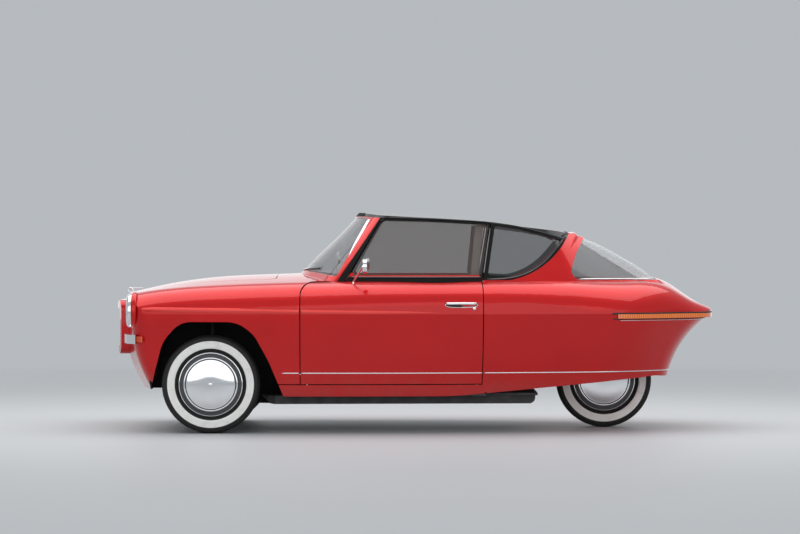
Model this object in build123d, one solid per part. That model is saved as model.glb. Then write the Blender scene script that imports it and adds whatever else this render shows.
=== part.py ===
"""Small three-wheeled car: two steered wheels in front, one driven wheel behind.

Millimetres. +X points to the nose, +Y to the car's left, +Z up. The origin is on the ground,
under the middle of the car's length and width. The car stands on its three tyres.

The painted hull is two lofts that meet at a crease along the flank: the lower one goes through
outlines in plan, the upper one through sections across the car. The glasshouse is a third loft.
Every panel is cut from these three, so neighbours share one surface and one set of shut lines.
"""
import os
from math import cos, radians, sin, tan

from build123d import *

os.makedirs("parts", exist_ok=True)

# Overall sizes
half_length = 1864
half_width = 815
roof_height = 1352
ridge_height = 730
belt_height = 925
front_axle_x = 1242
rear_axle_x = -1200
half_track = 650

# Wheels
tyre_radius = 300
tyre_width = 140
rim_radius = 200
bead_share = 0.36
disc_share = 0.12
hub_share = 0.2
rim_wall = 5
hub_radius = 42
spindle_radius = 16
spindle_clearance = 0.05
hubcap_rise = 34
hubcap_wall = 2

# Clearances and common thicknesses
shut_gap = 6
swing_gap = 6
seat_gap = 0.3
glass_thickness = 5
frame_depth = 30
glass_inset = 6
panel_thickness = 20
cut_overrun = 400

# Radii of the hull's outlines in plan, from the nose to the tail
nose_radius = 1000
corner_radius = 130
flank_radius = 7000
quarter_radius = 1000
tail_radius = 250
nose_half_width = 220
flank_x = 150

# Radii of the glasshouse's outlines in plan
screen_radius = 750
screen_corner_radius = 120
side_glass_radius = 1200
bubble_radius = 200
bubble_tail_radius = 110
screen_half_width = 200
side_glass_x = -150

# Cabin, its walls and its floor
floor_height = 227
floor_thickness = 14
cabin_front_x = 770
cabin_rear_x = -760
cabin_floor_half = 655
cabin_elbow_half = 690
cabin_belt_half = 598
cabin_elbow_height = 700
dash_front_x = 640

# Door
door_front_x = 692
door_rear_x = -418
door_bottom = 303
door_corner_radius = 80
hinge_y = 800
pillar_foot_x = 412
pillar_foot_half = 660
jamb_overlap = 24
door_shoulder_drop = 8
hood_nose_share = 0.82
rear_cabin_share = 0.86

# Hood over the front trunk
hood_rear_x = 855
hood_front_x = 1772
hood_half_width = 470
hood_corner_radius = 60
buffer_radius = 12
tub_front_x = 1560
tub_rear_x = 880
tub_half_width = 360
tub_floor = 400
well_inner_half = 395

# Rear wheel well and shelf
rear_well_front_x = -790
rear_well_rear_x = -1565
rear_well_top = 660
rear_well_left = 112
rear_well_right = 215
shelf_rear_x = -1430
shelf_half_width = 395
shelf_height = 712

# Battery pack under the floor
pack_front_x = 957
pack_rear_x = -746
pack_bottom = 175
pack_half_width = 620
pack_slant = 75
pack_corner_length = 105

# Steering and front suspension
kingpin_y = 585
kingpin_height = 190
steer_arm_length = 92
ball_clearance = 0.3
rack_radius = 22
rack_half_length = 260
rod_radius = 8
subframe_half = 330
subframe_tube = 44
subframe_height = 232
wishbone_tube = 26
wishbone_eye_round = 23.4
wishbone_spread = 130
damper_radius = 24
damper_rod_radius = 9
damper_sleeve_radius = 13.5
tow_thread_radius = 8
tow_thread_length = 40
knuckle_post_radius = 22
brake_plate_radius = 105
brake_plate_thickness = 8
steer_arm_drop = 46
steer_arm_thickness = 12
steer_arm_eye = 14
damper_body = 150
damper_lean = 117

# Rear suspension
swing_pivot_x = -840
swing_arm_y = -140
swing_arm_width = 38
swing_arm_height = 70
motor_radius = 118
motor_width = 98
pivot_radius = 24

# Steering wheel
wheel_rim_radius = 185
wheel_grip_radius = 12
wheel_x = 345
wheel_y = 335
wheel_z = 830
column_angle = 28
column_radius = 17
column_length = 330
wheel_boss_depth = 30
dash_rear_x = 470
dash_roll = 40

# Lamps, chrome and nose
surround_front_x = 1864
surround_half_width = 372
surround_corner = 70
surround_wall = 52
headlight_y = 598
headlight_z = 746
headlight_radius = 116
headlight_front_x = 1762
headlight_base_x = 1700
headlight_ring = 17
bumper_top = 602
bumper_bottom = 547
bumper_depth = 40
lamp_strip_top = 727
lamp_strip_bottom = 700
lamp_strip_front_x = -1246
lamp_strip_depth = 14
lamp_strip_proud = 3
slat_count = 7
slat_thickness = 9
surround_bow_radius = 1500
surround_depth = 130
surround_top = 808
surround_bottom = 473
surround_nose_height = 772
surround_corner_small = 24
slat_depth = 34
lens_rise = 16
bumper_back_x = 1700
marker_front_x = 1696
marker_back_x = 1658
marker_proud = 20

# Door handle and mirror
handle_front_x = -190
handle_rear_x = -380
handle_low = 779
handle_high = 797
handle_standoff = 14
handle_depth = 12
handle_post = 26
mirror_base_x = 372
mirror_base_y = 690
mirror_base_z = 925
mirror_x = 300
mirror_y = 792
mirror_z = 1020
mirror_radius = 44
mirror_depth = 24
mirror_stem_radius = 6

# Hood ornament
ornament_x = 1790
ornament_z = 862
ornament_ring = 15
ornament_wire = 4
ornament_tail_x = 1712

# Seats
seat_half_width = 205
seat_y = 300
seat_front_x = 230
seat_base_length = 480
seat_base_low = 330
seat_base_high = 470
seat_back_height = 520
seat_back_thickness = 120
seat_back_lean = 14
seat_corner = 38
rear_seat_x = -408
rear_seat_length = 270
rear_seat_thickness = 80
rear_back_height = 364
rear_seat_half = 250

# Heights of the hull's outlines as shares of ridge_height, then X as shares of half_length
# and half widths as shares of half_width:
# height, nose x, corner x, corner y, flank y, quarter x, quarter y, tail x, tail y
hull_level_shares = [
    (0.233, 0.8825, 0.829, 0.785, 0.929, -0.612, 0.628, -0.810, 0.239),
    (0.499, 0.936, 0.880, 0.847, 0.984, -0.671, 0.677, -0.858, 0.294),
    (0.685, 0.960, 0.907, 0.859, 1.011, -0.671, 0.748, -0.888, 0.319),
    (0.849, 0.964, 0.918, 0.877, 1.028, -0.687, 0.798, -0.934, 0.350),
    (1.000, 0.963, 0.924, 0.890, 1.035, -0.697, 0.847, -1.000, 0.368),
]

# Sections across the hull above the crease. X as shares of half_length, half widths as shares
# of half_width and heights as shares of belt_height:
# x, crease y, crease height, belt y, belt height, crown height
hull_station_shares = [
    (0.975, 0.870, 0.789, 0.600, 0.893, 0.915),
    (0.858, 0.908, 0.789, 0.665, 0.946, 0.965),
    (0.671, 0.941, 0.789, 0.715, 0.978, 1.022),
    (0.429, 0.983, 0.789, 0.765, 0.995, 1.046),
    (0.161, 1.008, 0.789, 0.822, 1.000, 1.062),
    (-0.215, 0.971, 0.789, 0.810, 1.000, 1.038),
    (-0.536, 0.893, 0.789, 0.685, 1.000, 1.032),
    (-0.697, 0.812, 0.789, 0.550, 0.997, 1.027),
    (-0.848, 0.616, 0.789, 0.375, 0.968, 0.997),
    (-0.923, 0.497, 0.789, 0.310, 0.878, 0.898),
    (-0.977, 0.392, 0.789, 0.210, 0.818, 0.834),
    (-1.020, 0.340, 0.745, 0.200, 0.757, 0.770),
]
shoulder_bulge_share = 0.17
station_skirt = 60

# Outlines of the glasshouse in plan: height as a share of roof_height, X as shares of
# half_length, half widths as shares of half_width, in the hull's column order
glasshouse_level_shares = [
    (0.640, 0.422, 0.306, 0.822, 0.880, -0.520, 0.690, -0.868, 0.405),
    (0.684, 0.400, 0.284, 0.797, 0.858, -0.512, 0.675, -0.832, 0.390),
    (0.814, 0.317, 0.215, 0.705, 0.765, -0.494, 0.589, -0.692, 0.307),
    (0.888, 0.260, 0.172, 0.650, 0.712, -0.467, 0.552, -0.596, 0.282),
    (0.962, 0.209, 0.131, 0.601, 0.662, -0.440, 0.515, -0.520, 0.270),
    (1.040, 0.161, 0.091, 0.552, 0.613, -0.412, 0.480, -0.480, 0.262),
]

# Profile of the roof along its centre line: x as a share of half_length, height as a share
# of roof_height, corner radius as a share of half_length
roof_profile_shares = [
    (0.500, 0.640, 0),
    (0.500, 1.000, 0),
    (0.179, 1.000, 0.10),
    (-0.160, 0.978, 1.2),
    (-0.472, 0.923, 0.5),
    (-0.586, 0.885, 0.5),
    (-0.740, 0.768, 0.9),
    (-0.860, 0.655, 0),
    (-0.860, 0.600, 0),
    (0.500, 0.600, 0),
]
roof_side_drop = 30
roof_crown_half = 720


def rounded_face(corners):
    """Flat face in the XY plane. A corner is (x, y, radius); radius zero leaves it sharp."""
    arcs = []
    for index, (x, y, radius) in enumerate(corners):
        here = Vector(x, y)
        before = Vector(*corners[index - 1][:2]) - here
        after = Vector(*corners[(index + 1) % len(corners)][:2]) - here
        if radius == 0:
            arcs.append((here, here, here))
            continue
        half_turn = radians(before.get_angle(after) / 2)
        inward = (before.normalized() + after.normalized()).normalized()
        middle = here + inward * (radius / sin(half_turn) - radius)
        reach = radius / tan(half_turn)
        arcs.append((here + before.normalized() * reach, middle, here + after.normalized() * reach))
    edges = []
    for index, (start, middle, end) in enumerate(arcs):
        if (end - start).length > 0:
            edges.append(ThreePointArc(start, middle, end))
        edges.append(Line(end, arcs[(index + 1) % len(arcs)][0]))
    return make_face(edges)


def rounded(points, radius):
    """Corners for rounded_face that all have one radius."""
    return [(x, y, radius) for x, y in points]


def side_prism(corners, y_low, y_high):
    """Prism across the car from y_low to y_high. Its corners are (x, z, radius) in side view."""
    return Pos(0, y_high, 0) * (Rot(90, 0, 0) * extrude(rounded_face(corners), amount=y_high - y_low))


def plan_prism(corners, z_low, z_high):
    """Upright prism between two heights. Its corners are (x, y, radius) in plan."""
    return Pos(0, 0, z_low) * extrude(rounded_face(corners), amount=z_high - z_low)


def front_prism(corners, x_low, x_high):
    """Prism along the car between two X. Its corners are (y, z, radius) seen from the front."""
    return Pos(x_low, 0, 0) * (Plane.YZ * extrude(rounded_face(corners), amount=x_high - x_low))


def block(x_low, x_high, y_low, y_high, z_low, z_high):
    """Plain box between its limits."""
    size = Box(x_high - x_low, y_high - y_low, z_high - z_low, align=(Align.MIN,) * 3)
    return Pos(x_low, y_low, z_low) * size


def bar(start, end, radius):
    """Round bar between two points."""
    path = Vector(*end) - Vector(*start)
    plane = Plane(origin=start, z_dir=path)
    return plane * Cylinder(radius, path.length, align=(Align.CENTER, Align.CENTER, Align.MIN))


def mirrored(shape):
    """The same shape on the car's other side."""
    return mirror(shape, about=Plane.XZ)


def both_sides(shape):
    """The shape and its mirror image."""
    return shape + mirrored(shape)


def level_outline(shares, height_unit, middle_x, nose_half, radii, inset=0):
    """Outline in plan of one loft level, mirrored about the car's centre line.

    inset draws the outline in by that much, for the inside of a shell.
    """
    height, nose_x, corner_x, corner_y, flank_y, quarter_x, quarter_y, tail_x, tail_y = shares
    half = [
        (nose_x * half_length - inset, nose_half),
        (corner_x * half_length - inset, corner_y * half_width - inset),
        (middle_x, flank_y * half_width - inset),
        (quarter_x * half_length + inset, quarter_y * half_width - inset),
        (tail_x * half_length + inset, tail_y * half_width - inset),
    ]
    left = [(x, y, radius - inset) for (x, y), radius in zip(half, radii)]
    right = [(x, -y, radius) for x, y, radius in reversed(left)]
    return Pos(0, 0, height * height_unit) * rounded_face(left + right)


hull_radii = (nose_radius, corner_radius, flank_radius, quarter_radius, tail_radius)
glass_radii = (
    screen_radius, screen_corner_radius, side_glass_radius, bubble_radius, bubble_tail_radius
)


def make_lower_hull():
    """Hull below the crease: a loft through its outlines in plan."""
    return loft([
        level_outline(shares, ridge_height, flank_x, nose_half_width, hull_radii)
        for shares in hull_level_shares
    ])


def hull_station(shares):
    """Section across the hull above the crease: two bulged shoulders and a crowned top."""
    x = shares[0] * half_length
    crease_y, belt_y = shares[1] * half_width, shares[3] * half_width
    crease_z, belt_z, crown_z = (shares[index] * belt_height for index in (2, 4, 5))
    low_z = crease_z - station_skirt
    rise, run = belt_z - crease_z, crease_y - belt_y
    bulge_y = (crease_y + belt_y) / 2 + rise * shoulder_bulge_share
    bulge_z = (crease_z + belt_z) / 2 + run * shoulder_bulge_share
    edges = [
        Line((x, -crease_y, low_z), (x, crease_y, low_z)),
        Line((x, crease_y, low_z), (x, crease_y, crease_z)),
        ThreePointArc((x, crease_y, crease_z), (x, bulge_y, bulge_z), (x, belt_y, belt_z)),
        ThreePointArc((x, belt_y, belt_z), (x, 0, crown_z), (x, -belt_y, belt_z)),
        ThreePointArc((x, -belt_y, belt_z), (x, -bulge_y, bulge_z), (x, -crease_y, crease_z)),
        Line((x, -crease_y, crease_z), (x, -crease_y, low_z)),
    ]
    return make_face(edges)


def make_upper_hull():
    """Hull above the crease: a loft through sections, held inside the crease's outline."""
    crease = level_outline(
        hull_level_shares[-1], ridge_height, flank_x, nose_half_width, hull_radii
    )
    upright = extrude(crease, amount=cut_overrun)
    return loft([hull_station(shares) for shares in hull_station_shares]) & upright


def make_glasshouse(inset):
    """Solid glasshouse, drawn in all round by inset: plan loft cut by the crowned roof."""
    walls = loft([
        level_outline(shares, roof_height, side_glass_x, screen_half_width, glass_radii, inset)
        for shares in glasshouse_level_shares
    ])
    profiles = []
    for y, drop in ((-roof_crown_half, roof_side_drop), (0, 0), (roof_crown_half, roof_side_drop)):
        corners = [
            (x * half_length, z * roof_height, radius * half_length)
            for x, z, radius in roof_profile_shares
        ]
        section = Rot(90, 0, 0) * rounded_face(corners)
        profiles.append(Pos(0, y, -drop - inset) * section)
    return walls & loft(profiles)


# Side view of the hull: what its lofts keep. x as a share of half_length, height as a share
# of ridge_height, corner radius as a share of ridge_height
hull_side_shares = [
    (1.050, 0.362, 0),
    (1.050, 0.951, 0),
    (0.946, 1.159, 0.08),
    (0.900, 1.700, 0),
    (-1.050, 1.700, 0),
    (-1.050, 0.411, 0),
    (-0.805, 0.463, 0.20),
    (-0.134, 0.311, 3.0),
    (0.620, 0.311, 0),
    (0.620, 0.362, 0),
]

# Tyre's half section from the rim: share of the way from rim to tread, then step outwards,
# width and corner radius as shares of half the tyre's width
tyre_shares = [
    (0, 0, 2 * bead_share, 0),
    (0, 0.4, 1, 0.5),
    (1, -0.5, 0.97, 0.4),
    (1, 0, 0.72, 0.3),
]

# Hubcap's section from its middle out: radius as a share of rim_radius, height as a share of
# hubcap_rise, corner radius as a share of rim_radius
hubcap_shares = [
    (0, 1, 0),
    (0.10, 1, 0),
    (0.125, 0.90, 0),
    (0.50, 0.80, 0.9),
    (0.755, 0.44, 0.02),
    (0.795, 0.54, 0.02),
    (0.835, 0.40, 0.02),
    (0.90, 0.24, 0.06),
    (0.955, 0.34, 0.02),
    (0.995, 0.10, 0),
]

# Front wheel arch in side view: x from the axle and height above the ground as shares of
# tyre_radius, corner radius as a share of tyre_radius
arch_shares = [
    (1.490, -0.067, 0),
    (0.977, 1.873, 0.80),
    (0.610, 2.273, 0.50),
    (-0.557, 2.273, 0.66),
    (-0.890, 2.010, 0.66),
    (-1.177, 1.490, 2.00),
    (-1.617, 0.433, 0),
    (-1.917, -0.300, 0),
]

# Openings of the glasshouse in side view: x and height as shares of half_length and
# roof_height, corner radius as a share of roof_height
screen_shares = [
    (0.2555, 0.708, 0.018),
    (0.1460, 0.978, 0.018),
    (0.3800, 0.978, 0),
    (0.4300, 0.747, 0),
]
door_window_shares = [
    (0.208, 0.7145, 0.012),
    (0.105, 0.9640, 0.030),
    (-0.053, 0.9590, 1.5),
    (-0.248, 0.9440, 0.012),
    (-0.222, 0.7145, 0.012),
]
door_frame_shares = [
    (0.2325, 0.666, 0),
    (0.1067, 0.9700, 0.034),
    (-0.053, 0.9650, 1.5),
    (-0.2521, 0.9498, 0.012),
    (-0.2210, 0.666, 0),
]
quarter_window_shares = [
    (-0.242, 0.7145, 0.012),
    (-0.2675, 0.9420, 0.010),
    (-0.354, 0.9230, 0.60),
    (-0.497, 0.8700, 0.012),
    (-0.424, 0.7560, 0.20),
    (-0.350, 0.7060, 0.15),
]
bubble_window_shares = [
    (-0.508, 0.6900, 0.045),
    (-0.538, 0.8150, 0.20),
    (-0.596, 0.9500, 0),
    (-0.950, 0.9500, 0),
    (-0.950, 0.6900, 0),
]
roof_panel_shares = [
    (0.162, 1.050, 0),
    (0.162, 0.9800, 0),
    (0.1150, 0.9745, 0),
    (-0.053, 0.9690, 1.5),
    (-0.2600, 0.9530, 0.60),
    (-0.3540, 0.9320, 0.60),
    (-0.5080, 0.8770, 0),
    (-0.5240, 1.050, 0),
]


def scaled(shares, x_unit, z_unit, radius_unit, x_start=0):
    """Corners in millimetres from a table of shares."""
    return [(x_start + x * x_unit, z * z_unit, r * radius_unit) for x, z, r in shares]


def glass_corners(shares):
    """Corners of a glasshouse opening in side view."""
    return scaled(shares, half_length, roof_height, roof_height)


def side_cut(shares, margin, y_low, y_high):
    """Prism of a glasshouse opening from y_low to y_high, grown by margin all round."""
    face = rounded_face(glass_corners(shares))
    if margin:
        face = offset(face, amount=margin, kind=Kind.INTERSECTION)
    return Pos(0, y_high, 0) * (Rot(90, 0, 0) * extrude(face, amount=y_high - y_low))


def cabin_section(share, top):
    """Front view of the cabin's inner walls; share narrows it behind the doors."""
    low = -cut_overrun
    left = [
        (cabin_floor_half * share, low, 0),
        (cabin_floor_half * share, floor_height, 0),
        (cabin_elbow_half * share, cabin_elbow_height, 0),
        (cabin_belt_half * share, belt_height, 0),
        (cabin_belt_half * share, top, 0),
    ]
    return left + [(-y, z, radius) for y, z, radius in reversed(left)]


def make_cabin():
    """Space inside the car, from the firewall to the shelf behind the rear seat."""
    seat_area = front_prism(
        cabin_section(1, belt_height + cut_overrun), door_rear_x - jamb_overlap, dash_front_x
    )
    footwell = front_prism(cabin_section(1, cowl_inner_height), dash_front_x, cabin_front_x)
    rear_area = front_prism(
        cabin_section(rear_cabin_share, belt_height + cut_overrun),
        cabin_rear_x, door_rear_x - jamb_overlap
    )
    shelf = block(
        shelf_rear_x, cabin_rear_x, -shelf_half_width, shelf_half_width,
        shelf_height, belt_height + cut_overrun
    )
    return seat_area + footwell + rear_area + shelf


def make_front_wells():
    """Both front wheel wells, cut out of the hull by the arch's outline."""
    corners = scaled(arch_shares, tyre_radius, tyre_radius, tyre_radius, front_axle_x)
    return both_sides(side_prism(corners, well_inner_half, half_width + cut_overrun))


def make_rear_well():
    """Space over the rear wheel and its arm, open below."""
    return block(
        rear_well_rear_x, rear_well_front_x, -rear_well_right, rear_well_left,
        -cut_overrun, rear_well_top
    )


def door_swing(gap):
    """Upright cylinders about both door hinges; the doors' rear edges lie on them."""
    radius = hinge_x - door_rear_x + gap
    return both_sides(Pos(hinge_x, hinge_y, 0) * Cylinder(radius, 2 * roof_height))


def door_area(gap):
    """Side view of the left door grown by gap, with its rounded front top corner."""
    top = belt_height + cut_overrun
    corners = [
        (door_front_x + gap, door_bottom - gap, 0),
        (door_front_x + gap, belt_height - door_shoulder_drop + gap, door_corner_radius),
        (pillar_foot_x + gap, belt_height + door_shoulder_drop + gap, 0),
        (pillar_foot_x + gap, top, 0),
        (door_rear_x - jamb_overlap, top, 0),
        (door_rear_x - jamb_overlap, door_bottom - gap, 0),
    ]
    return side_prism(corners, cabin_belt_half, half_width + cut_overrun)


def hood_area(gap):
    """Plan of the hood grown by gap."""
    half = hood_half_width + gap
    corners = [
        (hood_rear_x - gap, half, hood_corner_radius),
        (hood_front_x + gap, half * hood_nose_share, hood_corner_radius),
        (hood_front_x + gap, -half * hood_nose_share, hood_corner_radius),
        (hood_rear_x - gap, -half, hood_corner_radius),
    ]
    return plan_prism(corners, ridge_height, belt_height + cut_overrun)


def cowl_area():
    """Side view of the cowl: between hood and windscreen, above the doors and wings."""
    high = belt_height + cut_overrun
    corners = [
        (hood_rear_x - shut_gap, high, 0),
        (hood_rear_x - shut_gap, cowl_bottom, 0),
        (door_front_x + shut_gap, cowl_bottom, 0),
        (door_front_x + shut_gap, cabin_elbow_height, 0),
        (pillar_foot_x, cabin_elbow_height, 0),
        (pillar_foot_x, high, 0),
    ]
    return side_prism(corners, -half_width - cut_overrun, half_width + cut_overrun)


def lamp_band(depth, proud, gap):
    """Band round the tail along the crease, for the tail lamp and its recess."""
    outline = level_outline(
        hull_level_shares[-1], ridge_height, flank_x, nose_half_width, hull_radii, -proud
    )
    core = level_outline(
        hull_level_shares[-1], ridge_height, flank_x, nose_half_width, hull_radii, depth
    )
    height = lamp_strip_top - lamp_strip_bottom + 2 * gap
    band = extrude(outline, amount=height) - extrude(core, amount=height)
    band = Pos(0, 0, lamp_strip_bottom - gap - ridge_height) * band
    rear = block(
        -half_length - cut_overrun, lamp_strip_front_x + gap, -half_width, half_width,
        0, ridge_height + cut_overrun
    )
    return band & rear


def save(name, shape):
    """Write one sub-part."""
    export_step(shape, f"parts/{name}.step")


# Values worked out from the sizes above
hinge_x = door_front_x + shut_gap
cowl_inner_height = belt_height - panel_thickness
cowl_bottom = belt_height - 2 * panel_thickness
full_width = half_width + cut_overrun

lower_hull = make_lower_hull()
upper_hull = make_upper_hull()
hull_side = side_prism(
    scaled(hull_side_shares, half_length, ridge_height, ridge_height), -full_width, full_width
)
hull = (lower_hull + upper_hull) & hull_side
cabin = make_cabin()
front_wells = make_front_wells()
rear_well = make_rear_well()
hollow_hull = hull - cabin

# Doors: the whole wall from the painted skin to the inner face
foot_clearance = block(
    pillar_foot_x, door_front_x, cabin_belt_half, pillar_foot_half,
    belt_height - swing_gap, belt_height + cut_overrun
)
door_left = (hollow_hull & door_area(0) & door_swing(0)) - foot_clearance
save("door_left", door_left)
save("door_right", mirrored(door_left))

# Hood and the recess it lies in
hood = (hull & hood_area(0)) - Pos(0, 0, -panel_thickness) * hull
buffer_posts = Part() + [
    Pos(x, y, ridge_height) * Cylinder(buffer_radius, 2 * belt_height)
    for x, y in (
        (tub_front_x + 3 * shut_gap + buffer_radius * 3, tub_half_width / 2),
        (tub_rear_x + 3 * shut_gap + buffer_radius * 3, (tub_half_width + hood_half_width) / 2),
    )
]
buffers = both_sides(buffer_posts) & (Pos(0, 0, -panel_thickness - seat_gap) * hull)
hood_recess = hood_area(shut_gap) - Pos(0, 0, -panel_thickness - shut_gap) * hull - buffers
save("hood", hood)

cowl = (hollow_hull & cowl_area()) - both_sides(door_area(shut_gap)) - front_wells
save("cowl_panel", cowl)

# Front body: a wing each side and the centre with the front trunk between the wheel wells
front_area = block(
    door_front_x + shut_gap, half_length, -full_width, full_width, 0, 2 * roof_height
) - cowl_area()
front_shell = (hollow_hull & front_area) - hood_recess - front_wells
sill_area = block(
    door_rear_x - jamb_overlap, front_axle_x, cabin_floor_half, full_width,
    0, door_bottom - shut_gap
)
wing_area = block(0, half_length, well_inner_half, full_width, door_bottom, 2 * roof_height)
nose_area = block(
    front_axle_x + tyre_radius, half_length, well_inner_half, full_width,
    0, door_bottom
)
wing_left = front_shell & (wing_area + nose_area)

tub = block(tub_rear_x, tub_front_x, -tub_half_width, tub_half_width, tub_floor, belt_height * 2)
channel = block(
    tub_rear_x, tub_front_x, -well_inner_half, well_inner_half, 0, tub_floor - panel_thickness
)
centre = block(0, half_length, -well_inner_half, well_inner_half, 0, 2 * roof_height)
nose_panel = (front_shell & centre) - tub - channel

sills = both_sides((hollow_hull & sill_area) - front_wells)
save("sills", sills)

rear_area = block(
    -half_length - cut_overrun, door_rear_x + jamb_overlap, -full_width, full_width,
    0, 2 * roof_height
)
rear_body = (hollow_hull & rear_area) - door_swing(swing_gap) - rear_well
rear_body = rear_body - both_sides(sill_area) - lamp_band(lamp_strip_depth, cut_overrun / 10, seat_gap)
save("rear_body", rear_body)
tail_lamp = lamp_band(lamp_strip_depth - seat_gap, lamp_strip_proud, 0)
save("tail_lamp", tail_lamp)

# Glasshouse: frames are cut from a deep shell, panes from a thin one
glasshouse = make_glasshouse(0)
frame_shell = glasshouse - make_glasshouse(frame_depth) - hull
pane_shell = make_glasshouse(glass_inset) - make_glasshouse(glass_inset + glass_thickness) - hull
side_start = cabin_belt_half / 2
everywhere = (-full_width, full_width)
each_side = (side_start, full_width)

roof_region = side_cut(roof_panel_shares, 0, *everywhere)
screen_hole = side_cut(screen_shares, 0, *everywhere)
door_hole = side_cut(door_window_shares, 0, *each_side)
door_frame_region = side_cut(door_frame_shares, 0, *each_side)
door_frame_space = both_sides(side_cut(door_frame_shares, swing_gap, *each_side))
quarter_hole = side_cut(quarter_window_shares, 0, *each_side)
bubble_hole = side_cut(bubble_window_shares, 0, *everywhere)

door_frame = (frame_shell & door_frame_region) - door_hole
save("door_frame_left", door_frame)
save("door_frame_right", mirrored(door_frame))
door_glass = pane_shell & side_cut(door_window_shares, -seat_gap, *each_side)
save("door_glass_left", door_glass)
save("door_glass_right", mirrored(door_glass))

roof_panel = (frame_shell & roof_region) - door_frame_space
save("roof_panel", roof_panel)

front_half = block(
    pillar_foot_x / 2, half_length, -full_width, full_width, 0, 2 * roof_height
)
screen_frame = (frame_shell & front_half) - roof_region - door_frame_space - screen_hole
save("windscreen_frame", screen_frame)
windscreen = pane_shell & side_cut(screen_shares, -seat_gap, *everywhere)
save("windscreen", windscreen)

rear_half = block(
    -half_length, door_rear_x, -full_width, full_width, 0, 2 * roof_height
)
sail_panel = (frame_shell & rear_half) - roof_region - door_frame_space
sail_panel = sail_panel - both_sides(quarter_hole) - bubble_hole
save("sail_panel", sail_panel)
quarter_glass = both_sides(pane_shell & side_cut(quarter_window_shares, -seat_gap, *each_side))
save("quarter_glass", quarter_glass)
rear_glass = pane_shell & side_cut(bubble_window_shares, -seat_gap, *everywhere)
save("rear_glass", rear_glass)


def ring(radius, half, inner, y):
    """Flat-sided ring about a wheel's axle, centred on y."""
    wheel = Cylinder(radius, 2 * half) - Cylinder(inner, 2 * half)
    return Pos(0, y, 0) * (Rot(90, 0, 0) * wheel)


def turned(corners):
    """Solid turned about the axle (Y). A corner is (radius, y, fillet)."""
    return revolve(rounded_face(corners), Axis.Y)


def make_tyre():
    """Tyre about the origin, axle along Y: rounded crown, side walls and beads."""
    half = tyre_width / 2
    wall = [
        (rim_radius + way * (tyre_radius - rim_radius) + out * half, y * half, corner * half)
        for way, out, y, corner in tyre_shares
    ]
    return turned(wall + [(radius, -y, corner) for radius, y, corner in reversed(wall)])


def make_rim(outer_side):
    """Wheel rim: two flanges, a drop centre, a dished disc and a hub. outer_side is +1 or -1."""
    bead = tyre_width * bead_share
    seat = rim_radius - seat_gap
    drop = rim_radius - 5 * rim_wall
    disc = outer_side * tyre_width * disc_share
    barrel = turned([
        (seat, bead, 0), (seat, bead - 4 * rim_wall, 0),
        (drop, bead - 6 * rim_wall, 0), (drop, -bead + 6 * rim_wall, 0),
        (seat, -bead + 4 * rim_wall, 0), (seat, -bead, 0),
        (seat - rim_wall, -bead, 0), (seat - rim_wall, -bead + 4 * rim_wall, 0),
        (drop - rim_wall, -bead + 6 * rim_wall, 0), (drop - rim_wall, bead - 6 * rim_wall, 0),
        (seat - rim_wall, bead - 4 * rim_wall, 0), (seat - rim_wall, bead, 0),
    ])
    disc_ring = ring(drop - rim_wall / 2, rim_wall, spindle_radius + spindle_clearance, disc)
    hub_half = tyre_width * hub_share
    hub = ring(hub_radius, hub_half / 2, spindle_radius + spindle_clearance, disc - outer_side * hub_half / 2)
    return barrel + disc_ring + hub


def make_hubcap(outer_side):
    """Chrome cap over the rim: outer beads, a hollow between them, a dome and a small boss."""
    base = tyre_width * bead_share + seat_gap
    outside = [
        (rim_radius * radius, base + hubcap_rise * height, rim_radius * corner)
        for radius, height, corner in hubcap_shares
    ]
    inside = [(radius, height - 2 * hubcap_wall, 0) for radius, height, _ in outside[3:-1]]
    edge = outside[-1][0]
    cap = turned(
        outside + [(edge, base, 0)] + inside[::-1]
        + [(0, inside[0][1], 0)]
    )
    return cap if outer_side > 0 else mirrored(cap)


tyre = make_tyre()
for name, x, y, side in (
    ("front_left", front_axle_x, half_track, 1),
    ("front_right", front_axle_x, -half_track, -1),
    ("rear", rear_axle_x, 0, 1),
):
    place = Pos(x, y, tyre_radius)
    save(f"tyre_{name}", place * tyre)
    save(f"rim_{name}", place * make_rim(side))
    save(f"hubcap_{name}", place * make_hubcap(side))

# Knuckle: upright on the kingpin's axis, spindle, brake plate and steering arm
disc_y = half_track + tyre_width * disc_share
spindle_end = disc_y + rim_wall - spindle_clearance
post = Pos(front_axle_x, kingpin_y, tyre_radius) * Cylinder(knuckle_post_radius, kingpin_height)
spindle = bar(
    (front_axle_x, kingpin_y, tyre_radius), (front_axle_x, spindle_end, tyre_radius), spindle_radius
)
shoulder_end = disc_y - tyre_width * hub_share - swing_gap
shoulder = bar(
    (front_axle_x, kingpin_y, tyre_radius), (front_axle_x, shoulder_end, tyre_radius),
    knuckle_post_radius
)
brake_plate = bar(
    (front_axle_x, shoulder_end - brake_plate_thickness, tyre_radius),
    (front_axle_x, shoulder_end, tyre_radius), brake_plate_radius
)
arm_height = tyre_radius - steer_arm_drop
steer_arm = block(
    front_axle_x - steer_arm_length, front_axle_x, kingpin_y - knuckle_post_radius,
    kingpin_y, arm_height - steer_arm_thickness, arm_height
)
knuckle = post + spindle + shoulder + brake_plate + steer_arm
save("knuckle_left", knuckle)
save("knuckle_right", mirrored(knuckle))

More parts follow.
